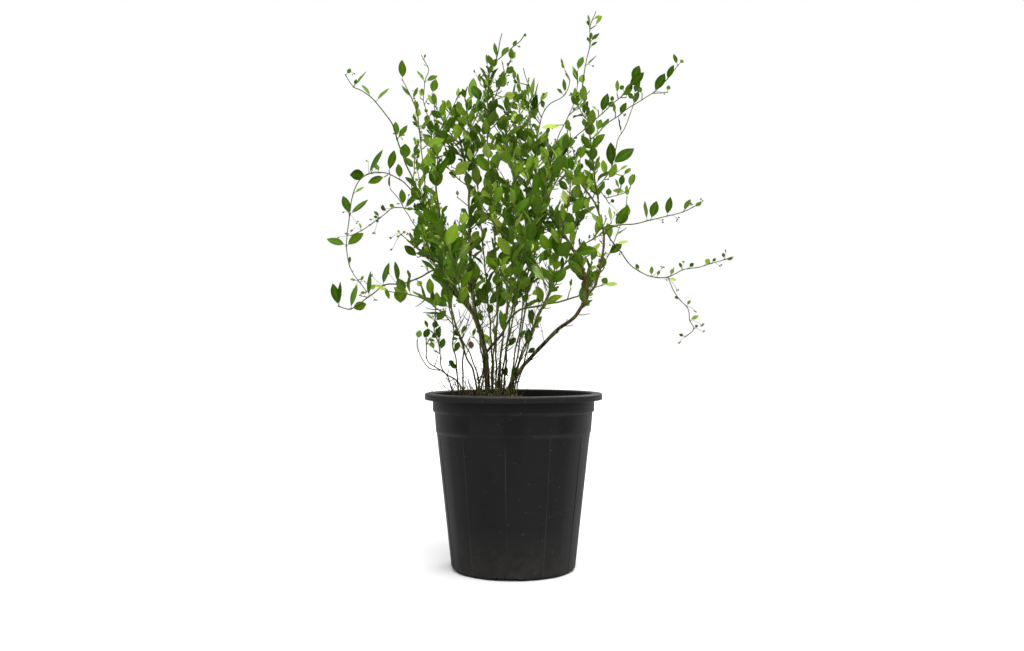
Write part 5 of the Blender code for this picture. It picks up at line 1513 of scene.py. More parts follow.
def add_buds(mesher, foot, out, draw):
    """A thin stalk that bends over, with two or three buds on short stalks of their own."""
    length = draw.uniform(*STALK_LENGTH)
    sag = draw.choice(STALK_SAGS) * length
    line = arched(foot, out * length, UP * sag, (0, 0.2, 0.4, 0.6, 0.8, 1))
    add_tube(mesher, line, [STALK_RADIUS * (1.3 - 0.05 * step) for step in range(6)], 5, 0.7, STALK_MATERIAL)
    way = (line[-1] - line[-2]).normalized()
    for _ in range(draw.choice(BUD_COUNTS)):
        spread = Vector([draw.uniform(-1, 1) for _ in range(3)])
        aim = (way + spread * 0.8).normalized()
        end = line[-1] + aim * draw.uniform(1.5, 4) * MM
        own_stalk = [line[-1], (line[-1] + end) / 2, end]
        add_tube(mesher, own_stalk, [STALK_RADIUS * 0.8] * 3, 4, 0.6, STALK_MATERIAL)
        add_bud(mesher, end, aim, draw.uniform(0.75, 1.2), draw.random())


class Nodes:
    """A node tree that is being put together."""

    def __init__(self, owner):
        owner.use_nodes = True
        self.tree = owner.node_tree

    def node(self, kind, inputs=(), **settings):
        """A new node. Keys of `inputs` are socket names or numbers, its values numbers or other sockets."""
        made = self.tree.nodes.new(kind)
        for name, value in settings.items():
            setattr(made, name, value)
        for name, value in dict(inputs).items():
            self.put(made.inputs[name], value)
        return made

    def put(self, socket, value):
        if isinstance(value, bpy.types.NodeSocket):
            self.tree.links.new(value, socket)
        else:
            socket.default_value = value

    def ramp(self, value, *stops):
        """A colour or grey from a value: each stop is (place, colour) or (place, grey)."""
        node = self.node("ShaderNodeValToRGB", {0: value})
        points = node.color_ramp.elements
        while len(points) < len(stops):
            points.new(0.5)
        for point, (place, colour) in zip(points, stops):
            point.position = place
            point.color = (*colour, 1) if isinstance(colour, tuple) else (colour, colour, colour, 1)
        return node.outputs["Color"]


class Surface(Nodes):
    """A material that is being put together from nodes."""

    def __init__(self, name):
        self.material = bpy.data.materials.new(name)
        super().__init__(self.material)
        self.shader = self.tree.nodes["Principled BSDF"]
        self.output = self.tree.nodes["Material Output"]
        self.place = self.node("ShaderNodeTexCoord").outputs["Object"]

    def finish(self, **inputs):
        """Sets the shader's sockets, by names with underscores for spaces, and gives the material."""
        for name, value in inputs.items():
            self.put(self.shader.inputs[name.replace("_", " ")], value)
        return self.material

    def attribute(self, name):
        return self.node("ShaderNodeAttribute", attribute_name=name).outputs["Fac"]

    def stretched(self, stretch):
        return self.node("ShaderNodeMapping", {"Vector": self.place, "Scale": stretch}).outputs["Vector"]

    def noise(self, scale, detail=3.0, stretch=(1, 1, 1)):
        inputs = {"Vector": self.stretched(stretch), "Scale": scale, "Detail": detail}
        return self.node("ShaderNodeTexNoise", inputs).outputs["Fac"]

    def spots(self, scale, stretch=(1, 1, 1)):
        """The distance from scattered points, 0 at each of them."""
        inputs = {"Vector": self.stretched(stretch), "Scale": scale}
        return self.node("ShaderNodeTexVoronoi", inputs).outputs["Distance"]

    def math(self, operation, *values):
        return self.node("ShaderNodeMath", dict(enumerate(values)), operation=operation).outputs[0]

    def mix(self, share, first, second, blend="MIX"):
        node = self.node("ShaderNodeMix", data_type="RGBA", blend_type=blend)
        for socket, value in ((0, share), (6, first), (7, second)):
            self.put(node.inputs[socket], (*value, 1) if isinstance(value, tuple) else value)
        return node.outputs[2]

    def bump(self, height, distance, strength=1.0):
        inputs = {"Height": height, "Distance": distance, "Strength": strength}
        return self.node("ShaderNodeBump", inputs).outputs["Normal"]

    def facing_up(self):
        """1 where the surface faces up, 0 where it stands or faces down."""
        normal = self.node("ShaderNodeNewGeometry").outputs["Normal"]
        height = self.node("ShaderNodeSeparateXYZ", {0: normal}).outputs["Z"]
        return self.math("MAXIMUM", height, 0.0)

    def turn(self):
        """The turn round the upright axis, from 0 at the front."""
        place = self.node("ShaderNodeSeparateXYZ", {0: self.place}).outputs
        return self.math("ARCTAN2", place["X"], self.math("MULTIPLY", place["Y"], -1.0))


def leaf_surface():
    """A leathery leaf: its green by the leaf's own tone, mottled, with a pale midrib and fine side veins."""
    make = Surface("jojoba_leaf")
    under = make.attribute("under")
    place = make.node("ShaderNodeUVMap", uv_map="place").outputs["UV"]
    split = make.node("ShaderNodeSeparateXYZ", {0: place}).outputs
    along = split["X"]
    off_midrib = make.math("MULTIPLY", make.math("ABSOLUTE", make.math("SUBTRACT", split["Y"], 0.5)), 2.0)
    mottle = make.noise(150, 4)
    tone = make.attribute("tone")
    dry = make.ramp(make.math("MULTIPLY", tone, -1.0), (0.4, 0.0), (0.6, 1.0))
    shade = make.math("MULTIPLY_ADD", mottle, 0.20, make.math("SUBTRACT", tone, 0.10))
    shade = make.math("MULTIPLY_ADD", off_midrib, -0.07, shade)
    green = make.ramp(
        shade,
        (0.0, (0.034, 0.102, 0.0004)),
        (0.30, (0.132, 0.272, 0.0060)),
        (0.52, (0.300, 0.478, 0.028)),
        (0.73, (0.500, 0.675, 0.075)),
        (1.0, (0.720, 0.840, 0.150)),
    )
    across = make.math("MULTIPLY_ADD", off_midrib, -1.9, make.math("MULTIPLY", along, 8.0))
    veins = make.ramp(make.math("PINGPONG", across, 0.5), (0.0, 1.0), (0.11, 0.0))
    midrib = make.ramp(off_midrib, (0.03, 1.0), (0.10, 0.0))
    lines = make.math("MAXIMUM", make.math("MULTIPLY", veins, 0.35), midrib)
    green = make.mix(make.math("MULTIPLY", lines, 0.24), green, (0.30, 0.42, 0.06))
    cool = make.ramp(make.noise(17, 1), (0.47, 0.0), (0.60, 0.55))
    green = make.mix(cool, green, (0.72, 0.90, 2.2), "MULTIPLY")
    green = make.mix(make.math("MULTIPLY", under, 0.42), green, (0.18, 0.28, 0.050))
    green = make.mix(dry, green, (0.200, 0.105, 0.055))
    rough = make.math("MULTIPLY_ADD", under, 0.20, make.math("MULTIPLY_ADD", mottle, 0.16, 0.38))
    height = make.math("MULTIPLY_ADD", make.noise(900, 2), 0.5, make.math("MULTIPLY", lines, -1.0))
    make.finish(Base_Color=green, Roughness=rough, Normal=make.bump(height, 0.0001, 0.35))
    make.shader.inputs["Specular IOR Level"].default_value = 0.08
    make.shader.inputs["IOR"].default_value = 1.38
    light_share = make.math("MULTIPLY_ADD", dry, -0.55, 0.55)
    through = make.mix(light_share, green, (0.34, 0.52, 0.02))
    glow = make.node("ShaderNodeBsdfTranslucent", {"Color": through})
    both = make.node("ShaderNodeMixShader", {0: 0.29, 1: make.shader.outputs[0], 2: glow.outputs[0]})
    make.put(make.output.inputs["Surface"], both.outputs[0])
    return make.material


def young_stem_surface():
    """Leaf stalks and bud stalks: green, turning to a dull purple-grey on the thin stalks."""
    make = Surface("young_stem")
    tone = make.math("MULTIPLY_ADD", make.noise(300, 2), 0.15, make.attribute("tone"))
    colour = make.ramp(
        tone,
        (0.0, (0.06, 0.14, 0.01)),
        (0.45, (0.13, 0.22, 0.02)),
        (0.66, (0.16, 0.17, 0.05)),
        (0.9, (0.11, 0.095, 0.055)),
    )
    return make.finish(Base_Color=colour, Roughness=make.ramp(tone, (0.0, 0.42), (1.0, 0.62)))


def stem_surface():
    """Streaked bark on the old wood, with pale pores and rusty arms at the right, and green young stems."""
    make = Surface("jojoba_stem")
    streaks = make.noise(240, 5, (1, 1, 0.14))
    patches = make.noise(34, 2)
    bark = make.ramp(
        streaks,
        (0.32, (0.009, 0.008, 0.002)),
        (0.50, (0.038, 0.041, 0.011)),
        (0.66, (0.185, 0.185, 0.080)),
    )
    rust = make.ramp(patches, (0.50, 0.0), (0.68, 0.50))
    place = make.node("ShaderNodeSeparateXYZ", {0: make.place}).outputs
    rust = make.math("MAXIMUM", rust, make.ramp(place["X"], (0.060, 0.0), (0.085, 0.35)))
    arm = make.ramp(place["X"], (0.108, 0.0), (0.120, 0.75), (0.138, 0.75), (0.148, 0.0))
    arm = make.math("MULTIPLY", arm, make.ramp(place["Z"], (0.45, 1.0), (0.49, 0.0)))
    bark = make.mix(rust, bark, (0.140, 0.058, 0.024))
    pores = make.ramp(make.spots(420, (1, 1, 0.5)), (0.05, 0.5), (0.16, 0.0))
    bark = make.mix(pores, bark, (0.24, 0.21, 0.12))
    green = make.ramp(streaks, (0.35, (0.055, 0.076, 0.010)), (0.65, (0.170, 0.205, 0.040)))
    woody = make.math("MULTIPLY_ADD", patches, 0.5, make.math("SUBTRACT", make.attribute("tone"), 0.25))
    woody = make.ramp(woody, (0.22, 0.0), (0.72, 1.0))
    colour = make.mix(arm, make.mix(woody, green, bark), (0.150, 0.062, 0.032))
    height = make.math("MULTIPLY", streaks, woody)
    make.shader.inputs["Specular IOR Level"].default_value = 0.15
    return make.finish(
        Base_Color=colour,
        Roughness=make.ramp(woody, (0.0, 0.45), (1.0, 0.85)),
        Normal=make.bump(height, 0.0012, 0.8),
    )


def bud_surface():
    """Small hard buds, grey-purple or green."""
    make = Surface("jojoba_bud")
    own = make.math("SUBTRACT", make.attribute("tone"), 0.2)
    tone = make.math("MULTIPLY_ADD", make.noise(700, 2), 0.4, own)
    colour = make.ramp(
        tone,
        (0.1, (0.095, 0.065, 0.045)),
        (0.5, (0.140, 0.130, 0.055)),
        (0.95, (0.160, 0.210, 0.045)),
    )
    return make.finish(Base_Color=colour, Roughness=0.55, Normal=make.bump(make.noise(1500, 2), 0.0002))


def under_collar_shade(make, height):
    """Painted dark reflections: even dark patches round the pot under its collar, fading down the wall. The
    plastic between them keeps its colour.
    """
    wave = make.math("COSINE", make.math("MULTIPLY", make.turn(), float(SHADE_PATCHES)))
    patches = make.ramp(wave, (0.0, 0.0), (0.8, 1.0))
    band = make.ramp(height, (0.120, 0.0), (0.192, 0.45), (0.200, 1.0), (0.212, 0.8), (0.222, 0.1))
    return make.math("MULTIPLY", make.math("MULTIPLY", patches, band), 0.85)


def painted_edge_highlights(make, height):
    """Painted highlights: pale lines, broken here and there, on the ridges and along the edges of both steps.
    """
    turn = make.math("MULTIPLY", make.math("SUBTRACT", make.turn(), FIRST_RIDGE), float(PANELS))
    ridges = make.ramp(make.math("COSINE", turn), (0.994, 0.0), (0.999, 1.0))
    wall = make.ramp(height, (BAND_FOOT - STEP_DROP, 1.0), (BAND_FOOT, 0.0))
    marks = make.math("MULTIPLY", make.math("MULTIPLY", ridges, wall), 0.6)
    for edge in (COLLAR_FOOT, BAND_FOOT):
        away = make.math("ABSOLUTE", make.math("SUBTRACT", height, edge))
        marks = make.math("MAXIMUM", marks, make.ramp(away, (0.0004, 1.0), (0.0010, 0.0)))
    return make.math("MULTIPLY", marks, make.ramp(make.noise(14, 2), (0.42, 0.1), (0.60, 0.85)))


def pot_surface():
    """Black moulded plastic: satin, with drawn streaks, scuffs, specks and a little dust on its ledges,
    painted dark reflections under its collar and painted highlights on its ridges and step edges.
    """
    make = Surface("pot_plastic")
    streaks = make.noise(26, 4, (1, 1, 0.10))
    scuffs = make.ramp(make.noise(60, 6, (1, 1, 5)), (0.60, 0.0), (0.78, 1.0))
    scratches = make.ramp(make.noise(420, 3, (1, 1, 0.03)), (0.66, 0.0), (0.74, 1.0))
    specks = make.ramp(make.spots(95), (0.045, 1.0), (0.075, 0.0))
    cloud = make.noise(9, 3)
    height = make.node("ShaderNodeSeparateXYZ", {0: make.place}).outputs["Z"]
    splash = make.ramp(height, (0.0, 0.5), (0.07, 0.0))
    dust = make.math("MULTIPLY_ADD", make.facing_up(), 0.55, make.math("MULTIPLY", splash, make.noise(45, 5)))
    dust = make.math("MULTIPLY", dust, make.noise(120, 4))
    colour = make.ramp(cloud, (0.3, (0.0088, 0.0089, 0.0092)), (0.7, (0.0120, 0.0121, 0.0124)))
    # Painted dark reflections in patches under the collar
    colour = make.mix(under_collar_shade(make, height), colour, (0.0030, 0.0030, 0.0031))
    colour = make.mix(make.math("MULTIPLY", streaks, 0.20), colour, (0.013, 0.013, 0.014))
    marks = make.math("MAXIMUM", make.math("MULTIPLY", scuffs, 0.22), make.math("MULTIPLY", scratches, 0.16))
    colour = make.mix(marks, colour, (0.045, 0.045, 0.044))
    # Painted highlights along the ridges and the edges of both steps
    colour = make.mix(painted_edge_highlights(make, height), colour, (0.044, 0.044, 0.045))
    colour = make.mix(dust, colour, (0.130, 0.118, 0.100))
    colour = make.mix(make.math("MULTIPLY", specks, 0.22), colour, (0.32, 0.31, 0.29))
    rough = make.math("MULTIPLY_ADD", cloud, 0.14, make.math("MULTIPLY_ADD", marks, 0.5, 0.33))
    rough = make.math("MULTIPLY_ADD", dust, 0.5, rough)
    relief = make.math("MULTIPLY_ADD", make.noise(700, 3), 0.35, streaks)
    make.shader.inputs["Specular IOR Level"].default_value = 0.20
    return make.finish(Base_Color=colour, Roughness=rough, Normal=make.bump(relief, 0.00035, 0.5))


def soil_surface():
    """Dark potting mix of fine crumbs and fibres."""
    make = Surface("potting_soil")
    grains = make.noise(330, 6)
    lumps = make.noise(90, 4)
    colour = make.ramp(
        grains,
        (0.30, (0.008, 0.006, 0.004)),
        (0.52, (0.034, 0.023, 0.015)),
        (0.72, (0.100, 0.071, 0.046)),
    )
    colour = make.mix(make.ramp(make.spots(260), (0.06, 0.6), (0.14, 0.0)), colour, (0.16, 0.12, 0.08))
    height = make.math("MULTIPLY_ADD", lumps, 1.5, grains)
    return make.finish(Base_Color=colour, Roughness=0.93, Normal=make.bump(height, 0.0022))


def litter_surface():
    """Dry bark bits, straws and fallen leaves: from dark brown to straw by their own tone."""
    make = Surface("dry_litter")
    fibres = make.noise(500, 5, (1, 1, 0.4))
    tone = make.math("MULTIPLY_ADD", fibres, 0.5, make.math("SUBTRACT", make.attribute("tone"), 0.25))
    colour = make.ramp(
        tone,
        (0.0, (0.020, 0.012, 0.007)),
        (0.4, (0.085, 0.048, 0.024)),
        (0.7, (0.21, 0.140, 0.070)),
        (1.0, (0.42, 0.33, 0.20)),
    )
    return make.finish(Base_Color=colour, Roughness=0.85, Normal=make.bump(fibres, 0.0006))


def floor_surface():
    """A plain pale studio floor with the faintest unevenness."""
    make = Surface("studio_floor")
    seen = make.ramp(make.noise(1.5, 2), (0.3, (0.78, 0.78, 0.78)), (0.7, (0.80, 0.80, 0.80)))
    direct = make.node("ShaderNodeLightPath").outputs["Is Camera Ray"]
    return make.finish(Base_Color=make.mix(direct, (0.30, 0.30, 0.30), seen), Roughness=0.7)


def rounded(corners):
    """A polyline through (x, y, radius) corners, with an arc of that radius at each."""
    line = []
    for place, (x, y, radius) in enumerate(corners):
        here = Vector((x, y))
        if radius == 0:
            line.append(here)
            continue
        back = (Vector(corners[place - 1][:2]) - here).normalized()
        on = (Vector(corners[place + 1][:2]) - here).normalized()
        half = back.angle(on) / 2
        reach = radius / math.tan(half)
        middle = here + (back + on).normalized() * radius / math.sin(half)
        start = here + back * reach - middle
        turn = start.angle_signed(here + on * reach - middle)
        steps = max(2, math.ceil(abs(turn) / ARC_STEP))
        for step in range(steps + 1):
            swing = -turn * step / steps
            line.append(middle + Matrix.Rotation(swing, 2) @ start)
    return line


def lathe(name, profile, turns, relief=None):
    """A closed mesh turned from (radius, height) points that start and end on the axis.

    `relief` moves a point: it takes the radius, height and turn and gives the new radius and height.
    """
    first = profile[0]
    last = profile[-1]
    inner = profile[1:-1]
    sides = len(turns)
    points = []
    for radius, height in inner:
        for turn in turns:
            out, up = relief(radius, height, turn) if relief else (radius, height)
            points.append((out * math.sin(turn), -out * math.cos(turn), up))
    faces = ring_faces(len(inner), sides)
    start = len(points)
    centre = relief(0, first[1], 0)[1] if relief else first[1]
    points += [(0, 0, centre), (0, 0, last[1])]
    faces += end_faces(start, 0, start + 1, (len(inner) - 1) * sides, sides)
    mesh = bpy.data.meshes.new(name)
    mesh.from_pydata(points, [], faces)
    shape = bmesh.new()
    shape.from_mesh(mesh)
    bmesh.ops.recalc_face_normals(shape, faces=shape.faces)
    shape.to_mesh(mesh)
    shape.free()
    return mesh


def wall_radius(height):
    """The pot's outer radius on its straight lower wall."""
    share = (height - BASE_ROUNDING) / (BAND_FOOT - STEP_DROP - BASE_ROUNDING)
    return BASE_RADIUS + (WALL_TOP_RADIUS - BASE_RADIUS) * share


def pot_profile():
    """(radius, height) points from the floor's middle up the inside, over the lip and down the outside.

    The third number of a corner is its rounding.
    """
    step_foot = BAND_FOOT - STEP_DROP
    lip_inside = LIP_RADIUS - WALL
    corners = [
        (0, FLOOR, 0),
        (wall_radius(FLOOR) - WALL, FLOOR, 0.0015),
        (wall_radius(step_foot) - WALL, step_foot, 0.001),
        (BAND_RADIUS - WALL, COLLAR_FOOT - STEP_DROP, 0.001),
        (COLLAR_RADIUS - WALL, COLLAR_FOOT, 0.001),
        (COLLAR_RADIUS - WALL, POT_HEIGHT, 0.0022),
        (LIP_RADIUS, POT_HEIGHT, 0.0026),
        (LIP_RADIUS, POT_HEIGHT - LIP_DROP, 0.0009),
        (lip_inside, POT_HEIGHT - LIP_DROP, 0.0008),
        (lip_inside, POT_HEIGHT - WALL, 0.001),
        (COLLAR_RADIUS, POT_HEIGHT - WALL, 0.001),
        (COLLAR_RADIUS, COLLAR_FOOT, 0.0009),
        (BAND_RADIUS, COLLAR_FOOT - STEP_DROP, 0.0009),
        (BAND_FOOT_RADIUS, BAND_FOOT, 0.0007),
        (WALL_TOP_RADIUS, step_foot, 0.0007),
        (wall_radius(BASE_ROUNDING), BASE_ROUNDING, 0),
        (BASE_RADIUS - BASE_ROUNDING, 0, 0.0025),
        (0, 0, 0),
    ]
    line = []
    for start, end in zip(rounded(corners), rounded(corners)[1:]):
        steps = max(1, round((end - start).length / WALL_STEP))
        line += [start.lerp(end, step / steps) for step in range(steps)]
    return [(point.x, point.y) for point in line + [Vector((0, 0))]]


def pot_turns():
    """The turns of the pot's columns: close at each ridge, even between."""
    panel = math.tau / PANELS
    ridge = [RIDGE_HALF_WIDTH * place for place in RIDGE_PLACES]
    free = panel - 4 * RIDGE_HALF_WIDTH
    between = [RIDGE_HALF_WIDTH * 2 + free * step / PANEL_COLUMNS for step in range(PANEL_COLUMNS)]
    return [FIRST_RIDGE + panel * number + turn for number in range(PANELS) for turn in ridge + between]


def pot_relief(radius, height, turn):
    """The wall's moulding: a bead at each panel's edge, and each panel a little hollow."""
    outer = radius > wall_radius(height) - WALL / 2
    if not (outer and 0 < height < BAND_FOOT - STEP_DROP / 2):
        return radius, height
    panel = math.tau / PANELS
    off = (turn - FIRST_RIDGE + panel / 2) % panel - panel / 2
    fade = min(1, height / BASE_ROUNDING, (BAND_FOOT - height) / (3 * STEP_DROP))
    bead = 0
    if abs(off) < RIDGE_HALF_WIDTH:
        bead = RIDGE_HEIGHT * math.cos(off / RIDGE_HALF_WIDTH * math.pi / 2)
    hollow = PANEL_HOLLOW * (1 - (2 * off / panel) ** 2)
    return radius + fade * (bead - hollow), height


def notch_cutters():
    """Rounded blocks where the notches are cut out of the pot's bottom edge."""
    cutters = bpy.data.collections.new("notches")
    bpy.context.scene.collection.children.link(cutters)
    size = Vector((NOTCH_WIDTH, NOTCH_DEPTH * 2, NOTCH_HEIGHT * 2))
    for number in range(NOTCHES):
        turn = FIRST_RIDGE + math.tau * number / NOTCHES
        shape = bmesh.new()
        bmesh.ops.create_cube(shape, size=1)
        bmesh.ops.scale(shape, vec=size, verts=shape.verts)
        bmesh.ops.bevel(
            shape, geom=shape.edges, offset=NOTCH_ROUNDING, segments=3, affect="EDGES", profile=0.5
        )
        bmesh.ops.translate(shape, vec=(0, -BASE_RADIUS, 0), verts=shape.verts)
        bmesh.ops.rotate(shape, matrix=Matrix.Rotation(turn, 3, "Z"), verts=shape.verts)
        cutter = bpy.data.meshes.new(f"notch_{number}")
        shape.to_mesh(cutter)
        shape.free()
        cutters.objects.link(bpy.data.objects.new(f"notch_{number}", cutter))
    return cutters


def build_pot():
    """The pot: turned, moulded, and cut at its notches."""
    pot = linked("pot_shell", lathe("pot_shell", pot_profile(), pot_turns(), pot_relief))
    cutters = notch_cutters()
    cut = pot.modifiers.new("Notches", "BOOLEAN")
    cut.operation = "DIFFERENCE"
    cut.operand_type = "COLLECTION"
    cut.collection = cutters
    cut.solver = "EXACT"
    bpy.context.view_layer.update()
    made = bpy.data.meshes.new_from_object(pot.evaluated_get(bpy.context.evaluated_depsgraph_get()))
    for used in (pot, *cutters.objects):
        bpy.data.objects.remove(used)
    bpy.data.collections.remove(cutters)
    made.materials.clear()
    made.materials.append(pot_surface())
    return shown_object("pot_shell", made, 30)


def soil_height(x, y):
    """The soil's surface: nearly level, heaped round the stems, with low waves."""
    away = (Vector((x, y, 0)) - MOUND_CENTRE).length
    heap = MOUND_HEIGHT * math.exp(-((away / MOUND_SPREAD) ** 2) / 2)
    waves = 0.0012 * math.sin(x * 95 + 1) * math.cos(y * 80)
    return SOIL_LEVEL + heap + waves


def rough_soil_height(x, y):
    """The surface with its clods and crumbs."""
    spot = Vector((x, y, 0))
    clods = 0.0022 * noise.noise(spot * 95) + 0.0011 * noise.noise(spot * 260 + Vector((7, 3, 1)))
    crumbs = 0.0009 * abs(noise.noise(spot * 620))
    return soil_height(x, y) + clods + crumbs


def build_soil():
    """A block of soil that fills the pot to its crumbly surface."""
    step_foot = BAND_FOOT - STEP_DROP
    side = BAND_RADIUS - WALL - SOIL_SIDE_GAP
    foot = FLOOR + SOIL_FLOOR_GAP
    edge = side + SOIL_RIM
    surface = [(edge * ring / SOIL_RINGS, SOIL_LEVEL) for ring in range(SOIL_RINGS + 1)]
    block = [
        (side, COLLAR_FOOT - STEP_DROP - MM),
        (wall_radius(step_foot) - WALL - SOIL_SIDE_GAP, step_foot - MM),
        (wall_radius(foot) - WALL - SOIL_SIDE_GAP, foot),
        (0, foot),
    ]
    turns = [math.tau * step / SOIL_COLUMNS for step in range(SOIL_COLUMNS)]

    def relief(radius, height, turn):
        if height < SOIL_LEVEL:
            return radius, height
        return radius, rough_soil_height(radius * math.sin(turn), -radius * math.cos(turn))

    mesh = lathe("soil_block", surface + block, turns, relief)
    mesh.materials.append(soil_surface())
    return shown_object("soil_block", mesh, 80)


def build_crumbs():
    """Loose crumbs and small stones on the soil."""
    draw = random.Random("crumbs")
    mesher = Mesher()
    corners = [Vector(point) for point in BUD_POINTS]
    for _ in range(CRUMBS):
        x, y = on_soil(draw)
        size = draw.uniform(0.8, 2.6) * MM if draw.random() < 0.85 else draw.uniform(2.5, 4.2) * MM
        seed = Vector((draw.uniform(0, 90), 0, 0))
        points = np.array([corner * (1 + 0.45 * noise.noise(corner * 1.3 + seed)) for corner in corners])
        points *= (size, size * draw.uniform(0.7, 1), size * draw.uniform(0.55, 0.9))
        points = points @ np.array(random_turn(draw)).T
        mesher.add(points + (x, y, rough_soil_height(x, y) + size * 0.25), BUD_FACES, draw.random())
    return mesher.build("soil_crumbs", soil_surface())


def random_turn(draw):
    """A rotation matrix that turns any way."""
    axis = Vector([draw.gauss(0, 1) for _ in range(3)]).normalized()
    return Matrix.Rotation(draw.uniform(0, math.tau), 3, axis)


def on_soil(draw, most=SOIL_REACH):
    """A place on the soil, closer together on the mound."""
    if draw.random() < ON_MOUND:
        x = MOUND_CENTRE.x + draw.gauss(0, MOUND_SPREAD)
        y = MOUND_CENTRE.y + draw.gauss(0, MOUND_SPREAD)
    else:
        turn = draw.uniform(0, math.tau)
        reach = most * math.sqrt(draw.random())
        x = reach * math.cos(turn)
        y = reach * math.sin(turn)
    shrink = min(1, most / max(1e-6, math.hypot(x, y)))
    return x * shrink, y * shrink


def build_litter():
    """Bark chips, straws and fallen leaves that lie on the soil."""
    draw = random.Random("litter")
    mesher = Mesher()
    for _ in range(CHIPS):
        add_chip(mesher, *on_soil(draw, 0.100), draw)
    for _ in range(STRAWS):
        add_straw(mesher, *on_soil(draw, 0.090), draw)
    for number in range(FALLEN_LEAVES):
        add_fallen_leaf(mesher, *on_soil(draw, 0.085), number, draw)
    return mesher.build("soil_litter", litter_surface())


def add_chip(mesher, x, y, draw):
    """A flat bit of bark that lies a little askew."""
    size = draw.uniform(3, 8) * MM
    points = BUD_POINTS * (size / 2, size * draw.uniform(0.2, 0.35), size * 0.09)
    tilt = Matrix.Rotation(draw.uniform(-0.4, 0.4), 3, "X") @ Matrix.Rotation(draw.uniform(-0.3, 0.3), 3, "Y")
    turn = np.array(Matrix.Rotation(draw.uniform(0, math.tau), 3, "Z") @ tilt)
    place = (x, y, rough_soil_height(x, y) + 1.0 * MM)
    mesher.add(points @ turn.T + place, BUD_FACES, draw.uniform(0.1, 0.6))


def add_straw(mesher, x, y, draw):
    """A bent straw. Some have their far end off the soil, and what would reach the pot is left out."""
    turn = draw.uniform(0, math.tau)
    length = draw.uniform(10, 32) * MM
    bend = draw.uniform(-0.5, 0.5)
    lift = draw.uniform(0, 0.5) if draw.random() < 0.35 else 0.0
    line = []
    for step in range(7):
        share = step / 6
        way = turn + bend * share
        over_x = x + length * share * math.cos(way)
        over_y = y + length * share * math.sin(way)
        line.append((over_x, over_y, soil_height(over_x, over_y) + 1.2 * MM + lift * length * share))
    if math.hypot(*line[-1][:2]) < STRAW_REACH:
        add_tube(mesher, line, [draw.uniform(0.25, 0.5) * MM] * 7, 5, draw.uniform(0.45, 1.0))


def add_fallen_leaf(mesher, x, y, number, draw):
    """A dry curled leaf that lies on the soil."""
    way = Vector((math.cos(number * 2.4), math.sin(number * 2.4), draw.uniform(0.0, 0.25))).normalized()
    facing = (UP - way * way.z).normalized()
    facing.rotate(Matrix.Rotation(draw.uniform(-0.5, 0.5), 3, way))
    length = draw.uniform(0.015, 0.024)
    dry = Branch(f"fallen_{number}", "", None, [], [], 0.0, 0.0, 0, 1.0, 0, 0)
    start = Vector((x, y, rough_soil_height(x, y) + 2.2 * MM))
    leaf = Leaf(dry, start, way, facing, length, length * draw.uniform(0.3, 0.42), 0.0, number)
    points = blade_points(leaf, start, start, 1.6)
    if np.hypot(points[:, 0], points[:, 1]).max() < FALLEN_REACH:
        mesher.add(points, BLADE_FACES, draw.uniform(0.35, 0.8))


def build_strands(surface):
    """Thin dry strands and young suckers that stand in the soil among the stems, with a few bits on each."""
    draw = random.Random("strands")
    mesher = Mesher()
    least, most = STRAND_LENGTH
    for _ in range(STRANDS):
        x = STRAND_CENTRE.x + STRAND_SPREAD.x * draw.uniform(-1, 1)
        y = STRAND_CENTRE.y + STRAND_SPREAD.y * draw.uniform(-1, 1)
        foot = Vector((x, y, soil_height(x, y) - 3 * MM))
        way = Vector((draw.uniform(-0.6, 0.6), draw.uniform(-0.4, 0.4), 1)).normalized()
        length = least + (most - least) * draw.random() ** 1.5
        bend = Vector((draw.uniform(-0.4, 0.4), draw.uniform(-0.4, 0.4), draw.uniform(-0.2, 0.1))) * length
        line = arched(foot, way * length, bend, (0, 0.25, 0.5, 0.75, 1))
        tone = draw.uniform(0.6, 1)
        add_tube(mesher, line, [STRAND_RADIUS * size for size in STRAND_TAPER], 5, tone)
        for _ in range(draw.choice((0, 1, 2, 3))):
            start = line[draw.choice((1, 2, 3))]
            side = Vector((draw.uniform(-1, 1), draw.uniform(-1, 1), draw.uniform(0.2, 1))).normalized()
            reach = draw.uniform(0.08, 0.3) * length
            twig = arched(start, side * reach, UP * reach * 0.2, (0, 0.5, 1))
            add_tube(mesher, twig, [STRAND_RADIUS * size for size in STRAND_TWIG_TAPER], 4, tone)
    return mesher.build("foot_strands", surface)


def build_node(node, branches, leaves, surfaces):
    """The pieces of one leafy stem: its wood, and its leaves with their stalks and buds."""
    wood = Mesher()
    foliage = Mesher()
    for branch in branches:
        feet = [shown.foot for shown in leaves if shown.leaf.branch is branch]
        add_stem(wood, branch, feet)
        if not branch.parent or branch.root > THICK_STEM or "fine_twig" in branch.name:
            add_stubs(wood, branch)
    for shown in leaves:
        add_leaf(foliage, shown)
        leaf = shown.leaf
        draw = random.Random(f"{leaf.branch.name} buds {leaf.distance:.4f} {leaf.turn}")
        if draw.random() < BUD_SHARES.get(leaf.branch.name, BUD_SHARE):
            drop = Vector((0, 0, draw.uniform(-0.8, 0.2)))
            out = (leaf.along + leaf.branch.at(leaf.distance)[1] * 0.5 + drop).normalized()
            out.rotate(Matrix.Rotation(draw.uniform(-0.7, 0.7), 3, "Z"))
            add_buds(foliage, shown.foot, out, draw)
    name = node.removeprefix("stem_")
    pieces = [wood.build(f"{name}_wood", surfaces["stem"])]
    if foliage.count:
        pieces.append(foliage.build(f"{name}_leaves", surfaces["leaf"], surfaces["young"], surfaces["bud"]))
    return pieces


